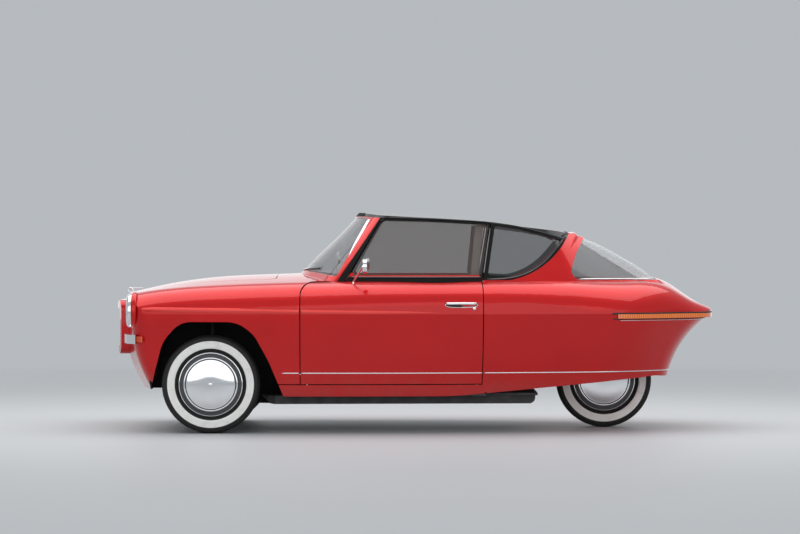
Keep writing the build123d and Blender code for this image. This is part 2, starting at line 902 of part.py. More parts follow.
# Front subframe: two tubes along the car, joined by two cross tubes
tube = subframe_tube / 2
rails = both_sides(block(
    pack_front_x + seat_gap, tub_front_x, subframe_half - tube, subframe_half + tube,
    subframe_height - tube, subframe_height + tube
))
cross_tubes = Part() + [
    block(x - tube, x + tube, -subframe_half, subframe_half,
          subframe_height - tube, subframe_height + tube)
    for x in (front_axle_x - 2 * wishbone_spread, front_axle_x + 2 * wishbone_spread)
]
towers = both_sides(block(
    front_axle_x - tube, front_axle_x + tube, subframe_half - tube, subframe_half + tube,
    subframe_height, tub_floor - panel_thickness
))
tow_x = front_axle_x + 2 * wishbone_spread + tube
tow_hole = bar(
    (tow_x - tow_thread_length, 0, subframe_height), (tow_x + tube, 0, subframe_height), tow_thread_radius
)
subframe = (rails + cross_tubes + towers) - tow_hole
save("front_subframe", subframe)

# Wishbones: two legs each, from the subframe's tubes to the ball joint under the knuckle
joint_bottom = tyre_radius - kingpin_height / 2 - ball_clearance
wishbone_top = joint_bottom
wishbone_low = joint_bottom - wishbone_tube
foot_y = subframe_half + tube + seat_gap
wishbone_plan = [
    (front_axle_x - wishbone_spread, foot_y, 0),
    (front_axle_x - wishbone_tube, kingpin_y - wishbone_tube, 0),
    (front_axle_x - wishbone_tube, kingpin_y + wishbone_tube, wishbone_eye_round),
    (front_axle_x + wishbone_tube, kingpin_y + wishbone_tube, wishbone_eye_round),
    (front_axle_x + wishbone_tube, kingpin_y - wishbone_tube, 0),
    (front_axle_x + wishbone_spread, foot_y, 0),
    (front_axle_x + wishbone_spread - 2 * wishbone_tube, foot_y, 0),
    (front_axle_x, kingpin_y - 3 * wishbone_tube, 0),
    (front_axle_x - wishbone_spread + 2 * wishbone_tube, foot_y, 0),
]
wishbone = plan_prism(wishbone_plan, wishbone_low, wishbone_top)
save("wishbones", both_sides(wishbone))

# Dampers: from the top ball joint of the knuckle to the wheel well's roof
joint_top = tyre_radius + kingpin_height / 2 + ball_clearance
well_roof = tyre_radius * arch_shares[3][1]
damper_foot = Vector(front_axle_x, kingpin_y, joint_top)
damper_seat = damper_foot + Vector(0, 0, damper_rod_radius)
damper_head = Vector(front_axle_x, kingpin_y - damper_lean, well_roof)
damper_knee = damper_seat + (damper_head - damper_seat).normalized() * damper_body
stub = bar(damper_foot, damper_foot + Vector(0, 0, 2 * damper_rod_radius), damper_rod_radius)
damper = stub + bar(damper_seat + Vector(0, 0, damper_rod_radius), damper_knee, damper_radius)
damper = damper + (bar(damper_knee, damper_head, damper_sleeve_radius) - block(
    0, half_length, 0, half_width, well_roof - seat_gap, roof_height
))
save("front_dampers", both_sides(damper))

# Steering rack with a rod to each arm
rack_x = front_axle_x - steer_arm_length + steer_arm_eye
rack_z = arm_height + rod_radius + swing_gap
rack = bar((rack_x, -rack_half_length, rack_z), (rack_x, rack_half_length, rack_z), rack_radius)
rack = rack - bar((rack_x, -kingpin_y, rack_z), (rack_x, kingpin_y, rack_z),
                  rod_radius + spindle_clearance)
rack_feet = both_sides(block(
    rack_x - rack_radius, front_axle_x, rack_half_length - 2 * rack_radius, subframe_half - tube,
    rack_z - rack_radius, rack_z - rod_radius - swing_gap
))
save("steering_rack", rack + rack_feet)
tie_rods = bar((rack_x, -kingpin_y, rack_z), (rack_x, kingpin_y, rack_z), rod_radius)
save("tie_rods", tie_rods)

# Rear arm on the wheel's right, its pivot tube and the motor in the wheel
arm = block(
    rear_axle_x, swing_pivot_x, swing_arm_y - swing_arm_width / 2, swing_arm_y + swing_arm_width / 2,
    tyre_radius - swing_arm_height / 2, tyre_radius + swing_arm_height / 2
)
arm_eye = bar((rear_axle_x, swing_arm_y - swing_arm_width / 2, tyre_radius),
              (rear_axle_x, swing_arm_y + swing_arm_width / 2, tyre_radius), swing_arm_height / 2)
rear_disc_y = tyre_width * disc_share
rear_spindle = bar((rear_axle_x, swing_arm_y, tyre_radius),
                   (rear_axle_x, rear_disc_y + rim_wall - spindle_clearance, tyre_radius), spindle_radius)
pivot = bar((swing_pivot_x, -rear_well_right + seat_gap, tyre_radius),
            (swing_pivot_x, rear_well_left - seat_gap, tyre_radius), pivot_radius)
save("rear_arm", arm + arm_eye + rear_spindle + pivot)
motor_start = swing_arm_y + swing_arm_width / 2 + seat_gap
rear_motor = bar((rear_axle_x, motor_start, tyre_radius),
                 (rear_axle_x, motor_start + motor_width, tyre_radius), motor_radius)
rear_motor = rear_motor - bar((rear_axle_x, motor_start - pivot_radius, tyre_radius),
                              (rear_axle_x, 0, tyre_radius), spindle_radius + seat_gap)
save("rear_motor", rear_motor)
rear_damper_x = rear_axle_x + 2 * swing_arm_height
rear_damper = bar(
    (rear_damper_x, swing_arm_y, tyre_radius + swing_arm_height / 2 + seat_gap),
    (rear_damper_x, swing_arm_y, rear_well_top - seat_gap), damper_radius
)
save("rear_damper", rear_damper)

# Floor and the battery pack under it
floor_outline = [
    (cabin_front_x - seat_gap, cabin_floor_half - seat_gap, 0),
    (door_rear_x - jamb_overlap, cabin_floor_half - seat_gap, 0),
    (door_rear_x - jamb_overlap, cabin_floor_half * rear_cabin_share - seat_gap, 0),
    (cabin_rear_x + seat_gap, cabin_floor_half * rear_cabin_share - seat_gap, 0),
]
floor_outline = floor_outline + [(x, -y, radius) for x, y, radius in reversed(floor_outline)]
floor_pan = plan_prism(floor_outline, floor_height, floor_height + floor_thickness)
save("floor_pan", floor_pan)

pack_side = [
    (pack_front_x, floor_height, 0),
    (pack_rear_x, floor_height, 0),
    (pack_rear_x, pack_bottom, pack_slant / 2),
    (pack_front_x - pack_slant, pack_bottom, 0),
]
pack_plan = [
    (pack_front_x, well_inner_half, 0),
    (pack_front_x - pack_corner_length, pack_half_width, 0),
    (pack_rear_x, pack_half_width * rear_cabin_share, 0),
]
pack_plan = pack_plan + [(x, -y, radius) for x, y, radius in reversed(pack_plan)]
battery_pack = side_prism(pack_side, -full_width, full_width) & plan_prism(
    pack_plan, 0, floor_height
)
save("battery_pack", battery_pack)

# Dashboard across the cabin, under the windscreen
dash_half = cabin_belt_half - seat_gap
dash_low = cabin_elbow_height
dash_side = [
    (cabin_front_x - seat_gap, cowl_inner_height - seat_gap, 0),
    (dash_front_x - seat_gap, cowl_inner_height - seat_gap, 0),
    (dash_front_x - seat_gap, belt_height, 0),
    (dash_rear_x + dash_roll, belt_height, dash_roll),
    (dash_rear_x, cowl_inner_height, dash_roll),
    (dash_rear_x + dash_roll, dash_low, dash_roll),
    (cabin_front_x - seat_gap, dash_low, 0),
]
dashboard = side_prism(dash_side, -dash_half, dash_half)
column_axis = Vector(-cos(radians(column_angle)), 0, sin(radians(column_angle)))
wheel_centre = Vector(wheel_x, wheel_y, wheel_z)
column_end = wheel_centre - column_axis * (wheel_boss_depth + seat_gap)
column = bar(column_end - column_axis * column_length, column_end, column_radius)
column_hole = bar(column_end - column_axis * 2 * column_length, column_end, column_radius + seat_gap)
column = column - side_prism([
    (dash_rear_x + 3 * dash_roll, 0, 0), (dash_rear_x + 3 * dash_roll, 2 * roof_height, 0),
    (half_length, 2 * roof_height, 0), (half_length, 0, 0),
], -full_width, full_width)
save("steering_column", column)
save("dashboard", dashboard - column_hole)

# Steering wheel: rim, two spokes and a boss on the column's end
wheel_plane = Plane(origin=wheel_centre, z_dir=column_axis, x_dir=(0, 1, 0))
wheel_rim = Torus(wheel_rim_radius, wheel_grip_radius)
boss = Cylinder(
    2 * column_radius, wheel_boss_depth, align=(Align.CENTER, Align.CENTER, Align.MAX)
)
spokes = Box(2 * wheel_rim_radius, 2 * wheel_grip_radius, wheel_grip_radius / 2)
steering_wheel = wheel_plane * (wheel_rim + boss + spokes)
save("steering_wheel", steering_wheel)


def make_seat(front_x, length, low, high, half, y, back_height, thickness):
    """Seat cushion and leaning back rest as two soft blocks about y."""
    rear_x = front_x - length
    lean = back_height * tan(radians(seat_back_lean))
    cushion = side_prism([
        (front_x, low, seat_corner), (front_x, high, seat_corner),
        (rear_x + thickness + seat_gap, high - seat_corner, 0),
        (rear_x + thickness + seat_gap, low, 0),
    ], y - half, y + half)
    back = side_prism([
        (rear_x + thickness, low, 0),
        (rear_x + thickness, high, 0),
        (rear_x + thickness - lean, high + back_height, seat_corner),
        (rear_x - lean, high + back_height, seat_corner),
        (rear_x, low, 0),
    ], y - half, y + half)
    return cushion + back


seat_left = make_seat(
    seat_front_x, seat_base_length + seat_back_thickness, seat_base_low, seat_base_high,
    seat_half_width, seat_y, seat_back_height, seat_back_thickness
)
save("seat_left", seat_left)
save("seat_right", mirrored(seat_left))
runner = block(
    seat_front_x - seat_base_length, seat_front_x - 2 * seat_corner,
    seat_y - seat_half_width + seat_corner, seat_y - seat_half_width + 2 * seat_corner,
    floor_height + floor_thickness, seat_base_low - seat_gap
)
runners = runner + Pos(0, 2 * seat_half_width - 3 * seat_corner, 0) * runner
save("seat_runners", both_sides(runners))
rear_seat = make_seat(
    rear_seat_x, rear_seat_length, floor_height + floor_thickness + seat_gap, seat_base_high,
    rear_seat_half, 0, rear_back_height, rear_seat_thickness
)
save("rear_seat", rear_seat)


# Nose: bowed surround round the grille opening, in the body's colour
surround_side = [
    (surround_front_x - surround_depth, surround_top, 0),
    (surround_front_x - surround_corner_small, surround_top, surround_corner_small),
    (surround_front_x, surround_nose_height, surround_corner_small),
    (surround_front_x - surround_corner_small, surround_bottom, surround_corner_small),
    (surround_front_x - surround_depth, surround_bottom, 0),
]
surround_face = rounded([
    (surround_half_width, surround_bottom), (surround_half_width, surround_top),
    (-surround_half_width, surround_top), (-surround_half_width, surround_bottom),
], surround_corner)
opening_half = surround_half_width - surround_wall
opening_face = rounded([
    (opening_half, surround_bottom + surround_wall), (opening_half, surround_top - surround_wall),
    (-opening_half, surround_top - surround_wall), (-opening_half, surround_bottom + surround_wall),
], surround_corner / 2)
pocket_x = surround_front_x - surround_depth
nose_bow = Pos(surround_front_x - surround_bow_radius, 0, 0) * Cylinder(
    surround_bow_radius, 2 * roof_height
)
surround_block = front_prism(surround_face, pocket_x, surround_front_x + surround_wall) & side_prism(
    surround_side, -full_width, full_width
)
grille_hole = front_prism(opening_face, pocket_x, surround_front_x + surround_wall)
nose_surround = (surround_block & nose_bow) - hull - grille_hole
save("nose_surround", nose_surround)
nose_panel = nose_panel - grille_hole

slat_pitch = (surround_top - surround_bottom - 2 * surround_wall) / (slat_count + 1)
slats = Part() + [
    block(
        pocket_x, surround_front_x, -opening_half + seat_gap, opening_half - seat_gap,
        surround_bottom + surround_wall + slat_pitch * (index + 1) - slat_thickness / 2,
        surround_bottom + surround_wall + slat_pitch * (index + 1) + slat_thickness / 2
    )
    for index in range(slat_count)
]
slat_bow = Pos(surround_front_x - slat_depth - surround_bow_radius, 0, 0) * Cylinder(
    surround_bow_radius, 2 * roof_height
)
spine = block(
    pocket_x, surround_front_x - 2 * slat_depth, -slat_thickness, slat_thickness,
    surround_bottom + surround_wall + slat_pitch / 2, surround_top - surround_wall - slat_pitch / 2
)
save("grille", (slats & slat_bow & front_prism(opening_face, pocket_x, surround_front_x)) + spine)


def along_x(shape, x, y, z):
    """Turn a solid made about the Y axis so that its axis points forward, and place it."""
    return Pos(x, y, z) * (Rot(0, 0, -90) * shape)


# Headlights: bowl with a ring and a short cap over it, and a domed lens
lamp_length = headlight_front_x - headlight_base_x
ring_profile = [
    (0, 0, 0), (headlight_radius, 0, 0), (headlight_radius, lamp_length, headlight_ring / 3),
    (headlight_radius - headlight_ring, lamp_length, headlight_ring / 3),
    (headlight_radius - headlight_ring, lamp_length - lens_rise, 0),
    (headlight_radius - headlight_ring, panel_thickness, 0), (0, panel_thickness, 0),
]
lens_radius = headlight_radius - headlight_ring - seat_gap
lens_profile = [
    (0, panel_thickness + seat_gap, 0), (lens_radius, panel_thickness + seat_gap, 0),
    (lens_radius, lamp_length - lens_rise, 0), (lens_radius / 2, lamp_length, lens_radius),
    (0, lamp_length, 0),
]
ring_left = along_x(turned(ring_profile), headlight_base_x, headlight_y, headlight_z)
lens_left = along_x(turned(lens_profile), headlight_base_x, headlight_y, headlight_z)
socket = bar(
    (headlight_base_x, headlight_y, headlight_z),
    (half_length + cut_overrun, headlight_y, headlight_z), headlight_radius + seat_gap
)
save("headlight_rings", both_sides(ring_left))
save("headlight_lenses", both_sides(lens_left))
wing_left = wing_left - socket

# Corner bumpers and the marker lamps behind their ends
bumper_level = [(low + high) / 2 for low, high in zip(hull_level_shares[2], hull_level_shares[3])]


def corner_band(proud, front_x, back_x, inner_y, low, high):
    """Band that stands proud of the hull round its front corner, between two X."""
    outline = level_outline(bumper_level, ridge_height, flank_x, nose_half_width, hull_radii, -proud)
    band = Pos(0, 0, low - bumper_level[0] * ridge_height) * extrude(outline, amount=high - low)
    return (band & block(back_x, front_x, inner_y, full_width, low, high)) - hull


bumper_left = corner_band(
    bumper_depth, half_length, bumper_back_x, surround_half_width + panel_thickness,
    bumper_bottom, bumper_top
)
save("front_bumpers", both_sides(bumper_left))
marker_left = corner_band(
    marker_proud, marker_front_x, marker_back_x, well_inner_half,
    bumper_bottom + panel_thickness / 2, bumper_top - panel_thickness / 2
)
save("front_markers", both_sides(marker_left))
save("wing_left", wing_left)
save("wing_right", mirrored(wing_left))
save("nose_panel", nose_panel)

# Hood ornament: plain ring on a post with a thin rod behind it
ornament = Pos(ornament_x, 0, ornament_z) * (Rot(90, 0, 0) * Torus(ornament_ring, ornament_wire))
ornament = ornament + bar(
    (ornament_x - ornament_ring, 0, ornament_z), (hood_front_x - panel_thickness, 0, ridge_height),
    ornament_wire
)
ornament = ornament + bar(
    (ornament_x, 0, ornament_z + ornament_ring), (ornament_tail_x, 0, ornament_z + ornament_ring),
    ornament_wire / 2
)
save("hood_ornament", ornament - hull)


# Door handle: a bar that follows the skin, on two posts
skin_patch = hull & block(
    handle_rear_x - handle_post, handle_front_x + handle_post, cabin_belt_half, full_width,
    handle_low - handle_post, handle_high + handle_post
)
handle_bar = (Pos(0, handle_standoff + handle_depth, 0) * skin_patch) - (
    Pos(0, handle_standoff, 0) * skin_patch
)
handle_bar = handle_bar & block(
    handle_rear_x, handle_front_x, cabin_belt_half, full_width, handle_low, handle_high
)
handle_posts = (Pos(0, handle_standoff + handle_depth, 0) * skin_patch) - skin_patch
handle_posts = handle_posts & (
    block(handle_rear_x, handle_rear_x + handle_post, cabin_belt_half, full_width,
          handle_low, handle_high)
    + block(handle_front_x - handle_post, handle_front_x, cabin_belt_half, full_width,
            handle_low, handle_high)
)
handle = handle_bar + handle_posts
save("door_handle_left", handle)
save("door_handle_right", mirrored(handle))

# Door mirror: round head on a bent stem from the door's front top corner
stem = bar((mirror_base_x, mirror_base_y, mirror_base_z - panel_thickness),
           (mirror_base_x, mirror_base_y, mirror_base_z + mirror_stem_radius), mirror_stem_radius)
stem = stem + bar((mirror_base_x, mirror_base_y, mirror_base_z + mirror_stem_radius / 2),
                  (mirror_x + mirror_depth / 2, mirror_y, mirror_z), mirror_stem_radius)
head = bar((mirror_x - mirror_depth / 2, mirror_y, mirror_z),
           (mirror_x + mirror_depth / 2, mirror_y, mirror_z), mirror_radius)
mirror_left = (stem + head) - hull
save("door_mirror_left", mirror_left)
save("door_mirror_right", mirrored(mirror_left))
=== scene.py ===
# %% [markdown]
# # A small red car on three wheels
# The car has two steered wheels in front and one driven wheel behind. Its solids come
# from CAD as a fixed frame: every panel is already in metres, in its place. This
# lesson gives each panel its finish, and adds what CAD leaves out: chrome strips,
# tyre tread, seats that look sat on, dials, seals and wipers.

# %% Load the frame
import math

import bmesh
import bpy
import numpy as np
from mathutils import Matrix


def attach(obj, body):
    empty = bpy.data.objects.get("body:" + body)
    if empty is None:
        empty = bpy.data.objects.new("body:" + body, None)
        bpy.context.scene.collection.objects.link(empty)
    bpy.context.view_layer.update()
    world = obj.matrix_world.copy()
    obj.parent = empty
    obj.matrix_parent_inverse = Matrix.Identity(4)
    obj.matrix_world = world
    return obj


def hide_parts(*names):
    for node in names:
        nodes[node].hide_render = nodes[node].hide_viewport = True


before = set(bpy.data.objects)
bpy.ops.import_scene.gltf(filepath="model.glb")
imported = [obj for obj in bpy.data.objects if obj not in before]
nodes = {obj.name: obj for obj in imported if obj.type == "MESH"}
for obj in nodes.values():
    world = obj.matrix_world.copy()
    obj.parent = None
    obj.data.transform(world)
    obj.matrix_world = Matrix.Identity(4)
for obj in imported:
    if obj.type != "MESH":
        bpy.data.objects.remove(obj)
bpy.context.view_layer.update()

# %% [markdown]
# ## Camera
# The car is seen from its left side with a long lens, from a little above its waist.
# A long lens from far away keeps the near and the far wheels almost the same size.

# %% Camera
CAMERA_PLACE = (0.087, 19.5, 1.2)
CAMERA_PITCH = 0.56
LENS_MM = 138.7


def linked(name, data):
    """A new object that holds the data, in the scene."""
    made = bpy.data.objects.new(name, data)
    bpy.context.scene.collection.objects.link(made)
    return made


camera = linked("camera", bpy.data.cameras.new("camera"))
camera.location = CAMERA_PLACE
camera.rotation_euler = (math.radians(90 - CAMERA_PITCH), 0, math.radians(180))
camera.data.lens = LENS_MM
camera.data.sensor_width = 36
camera.data.clip_end = 200
bpy.context.scene.camera = camera

# %% [markdown]
# ## Shader maths
# A procedural material is a small program made of nodes. Written as Python
# expressions it stays readable: a Wire is one output of a node, and an expression on
# wires adds the Math nodes it needs. Every other node comes from Finish.node.

# %% Wires and finishes
class Wire:
    """One output of a shader node, which can be used in sums."""

    def __init__(self, shader, socket):
        self.shader = shader
        self.socket = socket

    def maths(self, operation, *values):
        """Adds one Math node of that operation on the values."""
        return self.shader.node("Math", {"operation": operation}, dict(enumerate(values)))

    def __add__(self, other):
        return self.maths("ADD", self, other)

    def __sub__(self, other):
        return self.maths("SUBTRACT", self, other)

    def __rsub__(self, other):
        return self.maths("SUBTRACT", other, self)

    def __mul__(self, other):
        return self.maths("MULTIPLY", self, other)

    def __pow__(self, other):
        return self.maths("POWER", self, other)

    def __abs__(self):
        return self.maths("ABSOLUTE", self)

    __radd__ = __add__
    __rmul__ = __mul__


class Shader:
    """A tree of shader nodes that grows as expressions ask for them."""

    def __init__(self, tree):
        self.tree = tree

    def feed(self, socket, value):
        """Links a wire to a socket, or writes a plain value on it."""
        if isinstance(value, Wire):
            self.tree.links.new(value.socket, socket)
        else:
            socket.default_value = value

    def node(self, kind, settings=(), inputs=(), output=0):
        """Adds a node: its settings first, then its inputs, and gives one output."""
        made = self.tree.nodes.new("ShaderNode" + kind)
        for key, value in dict(settings).items():
            setattr(made, key, value)
        for key, value in dict(inputs).items():
            self.feed(made.inputs[key], value)
        return Wire(self, made.outputs[output])

    def step(self, value, low, high, first=0.0, last=1.0):
        """A smooth step of value from low to high."""
        return self.node("MapRange", {"interpolation_type": "SMOOTHSTEP"}, {
            "Value": value, "From Min": low, "From Max": high, "To Min": first, "To Max": last,
        })

    def blend(self, share, first, last):
        """A colour from first to last, by share."""
        return self.node("Mix", {"data_type": "RGBA"}, {
            "Factor": share, 6: first, 7: last,
        }, output=2)


class Finish(Shader):
    """A material whose pattern is worked out by nodes, and the surface it feeds."""

    def __init__(self, name, **constants):
        self.material = bpy.data.materials.new(name)
        self.material.use_nodes = True
        super().__init__(self.material.node_tree)
        self.surface = self.tree.nodes["Principled BSDF"]
        for name, value in constants.items():
            self.set(name.replace("_", " ").title().replace("Ior", "IOR"), value)

    def set(self, name, value):
        """Feeds one input of the surface."""
        self.feed(self.surface.inputs[name], value)

    def place(self, stretch=(1, 1, 1)):
        """Object coordinates, stretched."""
        spot = self.node("TexCoord", output="Object")
        return self.node("Mapping", (), {"Vector": spot, "Scale": stretch})

    def axes(self):
        """The three Object coordinates as wires."""
        spot = self.place()
        return [self.node("SeparateXYZ", (), {0: spot}, output=i) for i in range(3)]

    def noise(self, scale, detail=2.0, stretch=(1, 1, 1)):
        """Cloudy noise from 0 to 1, scale blobs a metre."""
        return self.node("TexNoise", (), {
            "Vector": self.place(stretch), "Scale": scale,
            "Detail": detail,
        })

    def bump(self, height, distance, strength=1.0):
        """Feeds a height pattern to the surface's normal, distance deep."""
        self.set("Normal", self.node("Bump", (), {
            "Height": height, "Distance": distance, "Strength": strength,
        }))

    def colour(self, value):
        self.set("Base Color", value)

    def roughness(self, value):
        self.set("Roughness", value)

    def wear(self, *names):
        """Puts this finish on CAD nodes."""
        for name in names:
            nodes[name].data.materials.clear()
            nodes[name].data.materials.append(self.material)


def rgb(red, green, blue):
    return (red, green, blue, 1.0)


# %% [markdown]
# ## Studio
# A pale floor, a pale surround, a soft lamp above the car and one at each side. The
# near lamp is so wide that its reflection is the long pink band on the red paint.

# %% Floor, world and lamps
FLOOR_HALF = 60.0
WORLD_SEEN = (0.47, 0.495, 0.52, 1)
WORLD_LIGHT = (0.34, 0.345, 0.35, 1)
HAZE_NEAR, HAZE_FAR = 2.5, 10.0

floor_mesh = bpy.data.meshes.new("studio_floor")
floor_mesh.from_pydata(
    [(x * FLOOR_HALF, y * FLOOR_HALF, 0) for x, y in ((-1, -1), (1, -1), (1, 1), (-1, 1))],
    [], [(0, 1, 2, 3)],
)
floor = linked("studio_floor", floor_mesh)
floor_finish = Finish("studio_floor", roughness=0.55)
floor_finish.colour(floor_finish.blend(
    floor_finish.noise(0.35), rgb(0.50, 0.52, 0.54), rgb(0.54, 0.56, 0.58)
))
x, y, _ = floor_finish.axes()
far = floor_finish.step((x ** 2 + y ** 2) ** 0.5, HAZE_NEAR, HAZE_FAR)
haze = floor_finish.node("Emission", (), {"Color": WORLD_SEEN})
near_and_far = floor_finish.node("MixShader", (), {
    "Fac": far, 1: Wire(floor_finish, floor_finish.surface.outputs[0]), 2: haze,
})
floor_finish.feed(floor_finish.tree.nodes["Material Output"].inputs["Surface"], near_and_far)
floor_mesh.materials.append(floor_finish.material)

world = bpy.data.worlds.new("studio")
bpy.context.scene.world = world
world.use_nodes = True
sky = Shader(world.node_tree)
camera_ray, glass_ray, mirror_ray = (
    sky.node("LightPath", output=f"Is {kind} Ray") for kind in ("Camera", "Transmission", "Glossy")
)
shown = mirror_ray.maths("MAXIMUM", mirror_ray, camera_ray.maths("MAXIMUM", camera_ray, glass_ray))
sky.feed(sky.tree.nodes["Background"].inputs["Color"], sky.blend(shown, WORLD_LIGHT, WORLD_SEEN))


def soft_lamp(name, place, turn, width, length, watts):
    """A rectangular lamp whose light leaves it evenly."""
    lamp = linked(name, bpy.data.lights.new(name, "AREA"))
    lamp.data.shape = "RECTANGLE"
    lamp.data.size = width
    lamp.data.size_y = length
    lamp.data.energy = watts
    lamp.location = place
    lamp.rotation_euler = tuple(math.radians(a) for a in turn)
    lamp.visible_camera = False


soft_lamp("roof_lamp", (0, -0.3, 4.4), (0, 0, 0), 9.0, 4.6, 270)
soft_lamp("near_lamp", (0, 8.0, 3.3), (-90, 0, 0), 28.0, 5.7, 450)
soft_lamp("far_lamp", (0, -8.0, 3.3), (90, 0, 0), 16.0, 5.7, 150)
bpy.context.scene.view_settings.view_transform = "Standard"

# %% [markdown]
# ## Paint and black gloss
# Car paint is a coloured base with fine metal flakes under a clear coat. The base is
# partly metallic, so it glows near a highlight, and the coat adds the sharp
# reflection. Close to the road a film of dust makes the coat a little dull. Inside the
# wheel wells and beside the windows a zone of the coordinates turns the paint black.

# %% Body paint
def make_paint(name, dark, light, spark, bare=None):
    """Flaked paint: clouds of the two base colours, sprinkled with the spark colour.
    Where the zone that bare works out from the coordinates is 1, it is black."""
    paint = Finish(name, specular_ior_level=0.1, coat_roughness=0.03, coat_ior=1.36)
    x, y, height = paint.axes()
    base = paint.blend(paint.noise(3.0, 3), dark, light)
    flake = paint.step(paint.noise(1400, 1), 0.5, 0.8)
    dust = paint.step(height, DUST_TOP, DUST_FOOT) * paint.noise(9, 5)
    colour = paint.blend(dust * 0.25, paint.blend(flake * 0.3, base, spark), rgb(0.20, 0.17, 0.15))
    rough = 0.32 + dust * 0.35
    paint.bump(paint.noise(240, 2), 0.00010, 0.3)
    zone = bare(paint, x, abs(y), height) if bare else 0.0
    paint.colour(paint.blend(zone, colour, UNDERSEAL))
    paint.roughness(rough + zone * 0.3)
    paint.set("Coat Weight", 1 - zone)
    paint.set("Metallic", METAL_SHARE - zone * METAL_SHARE)
    return paint


METAL_SHARE = 0.35
UNDERSEAL = rgb(0.008, 0.008, 0.008)
REDS = (rgb(0.50, 0.004, 0.006), rgb(0.62, 0.007, 0.008), rgb(0.90, 0.05, 0.03))
EDGE = 0.001
DUST_TOP, DUST_FOOT = 0.42, 0.24
WELL_TOP = (0.700, 0.690)
WELL_WIDTH = 0.725
REAR_WELL_WIDTH = 0.115
NOSE_TAPER = (1.45, 1.75, 0.0, 0.141)
ROOF_EDGE = (1.3255, 1.3275)
ARC_MIDDLE = (-0.499, 1.433)
ARC_RADIUS = 0.506
PILLAR_LEAN = 0.674
PILLAR_LINE = 0.2047 + 1.3263 * PILLAR_LEAN


def front_well(paint, x, across, z):
    """Inside the front wheel arch: nearer the middle of the car than the wing's skin,
    which draws in towards the nose, and below the top of the arch."""
    drawn_in = across + paint.step(x, *NOSE_TAPER)
    inward = paint.step(drawn_in, WELL_WIDTH + EDGE, WELL_WIDTH - EDGE)
    inward = inward * paint.step(x, 1.622, 1.620) * paint.step(x, 0.80, 0.81)
    return inward * paint.step(z, *WELL_TOP)


def rear_well(paint, x, across, z):
    """Inside the rear wheel's box, which is as narrow as its tyre needs."""
    along = paint.step(x, -1.574, -1.572) * paint.step(x, -0.778, -0.780)
    inward = paint.step(across, REAR_WELL_WIDTH + EDGE, REAR_WELL_WIDTH - EDGE)
    return inward * paint.step(z, *WELL_TOP) * along


def window_pillars(paint, x, across, z):
    """Ahead of the quarter window's curved rear edge, which is close to a circle, and
    above the belt: there the panel is a black window pillar."""
    reach = ((x - ARC_MIDDLE[0]) ** 2 + (z - ARC_MIDDLE[1]) ** 2) ** 0.5
    return paint.step(reach, ARC_RADIUS + EDGE, ARC_RADIUS - EDGE) * paint.step(z, 0.934, 0.936)


def header(paint, x, across, z):
    """The top edge of the windscreen frame, which meets the black roof, and the wedge
    beside the door, behind a line that leans with the pillar."""
    lean = x + z * PILLAR_LEAN
    wedge = paint.step(lean, PILLAR_LINE + EDGE, PILLAR_LINE - EDGE)
    return wedge.maths("MAXIMUM", wedge, paint.step(z, *ROOF_EDGE))


def window_frame(paint, x, across, z):
    """The whole door frame but for a red band along its foot."""
    band = paint.step(z, 0.956, 0.957) * paint.step(z, 0.981, 0.980)
    return 1 - band * paint.step(x, -0.401, -0.400) * paint.step(x, 0.416, 0.415)


red = make_paint("body_paint", *REDS)
red.wear("hood", "door_left", "door_right", "nose_surround", "cowl_panel", "sills")
make_paint("wing_paint", *REDS, front_well).wear("wing_left", "wing_right", "nose_panel")
make_paint("tail_paint", *REDS, rear_well).wear("rear_body")
make_paint("sail_paint", *REDS, window_pillars).wear("sail_panel")
make_paint("screen_frame_paint", *REDS, header).wear("windscreen_frame")
make_paint("door_frame_paint", *REDS, window_frame).wear("door_frame_left", "door_frame_right")

# %% Black gloss of the roof
black = Finish("black_gloss", coat_weight=0.25, coat_roughness=0.15, specular_ior_level=0.3)
black.colour(black.blend(black.noise(6, 3), rgb(0.010, 0.010, 0.012), rgb(0.018, 0.018, 0.020)))
black.roughness(black.noise(40, 3) * 0.15 + 0.22)
black.bump(black.noise(200, 2), 0.0001, 0.3)
black.wear("roof_panel")

# %% [markdown]
# ## Chrome, glass and lamps
# Chrome is a mirror with faint polishing marks. Window glass is thin and tinted, so it
# is mostly see-through, and its own colour darkens what is behind it; on the rear
# bubble's crown a paler tint is a painted reflection of the light from above. The lamp
# covers are moulded with ribs that break up the light; a wave pattern gives those.

# %% Chrome
chrome = Finish("chrome", metallic=1.0)
chrome.colour(chrome.blend(chrome.noise(14, 3), rgb(0.76, 0.77, 0.79), rgb(0.86, 0.87, 0.88)))
rubbed = chrome.noise(60, 5, stretch=(1, 1, 6))
chrome.roughness(chrome.step(rubbed, 0.35, 0.85, 0.04, 0.16))
chrome.bump(rubbed, 0.00005, 0.2)
chrome.wear("door_mirror_left", "door_mirror_right", "front_bumpers", "grille", "hood_ornament")

# %% Window glass
def make_glass(name, dark, light, crown=None):
    """Thin tinted glass. Where the zone that crown works out is 1 it is paler: a painted
    reflection of the light from above.
    """
    glass = Finish(name, alpha=GLASS_ALPHA, coat_weight=1.0, coat_roughness=0.01)
    tint = glass.blend(glass.noise(1.2), dark, light)
    if crown:
        zone = crown(glass, *glass.axes())
        # Paler and less see-through on the zone: a painted reflection.
        tint = glass.blend(zone, tint, rgb(0.42, 0.45, 0.47))
        glass.set("Alpha", GLASS_ALPHA + zone * 0.10)
    glass.colour(tint)
    glass.roughness(glass.step(glass.noise(18, 5), 0.45, 0.9, 0.10, 0.16))
    return glass


def crown_painted_reflection(glass, x, y, z):
    """The bubble's crown: above a line that falls towards the tail. Its paler tint there
    is a painted reflection of the light from above.
    """
    return glass.step(z - x * CROWN_FALL, CROWN_LINE - 0.002, CROWN_LINE + 0.002)


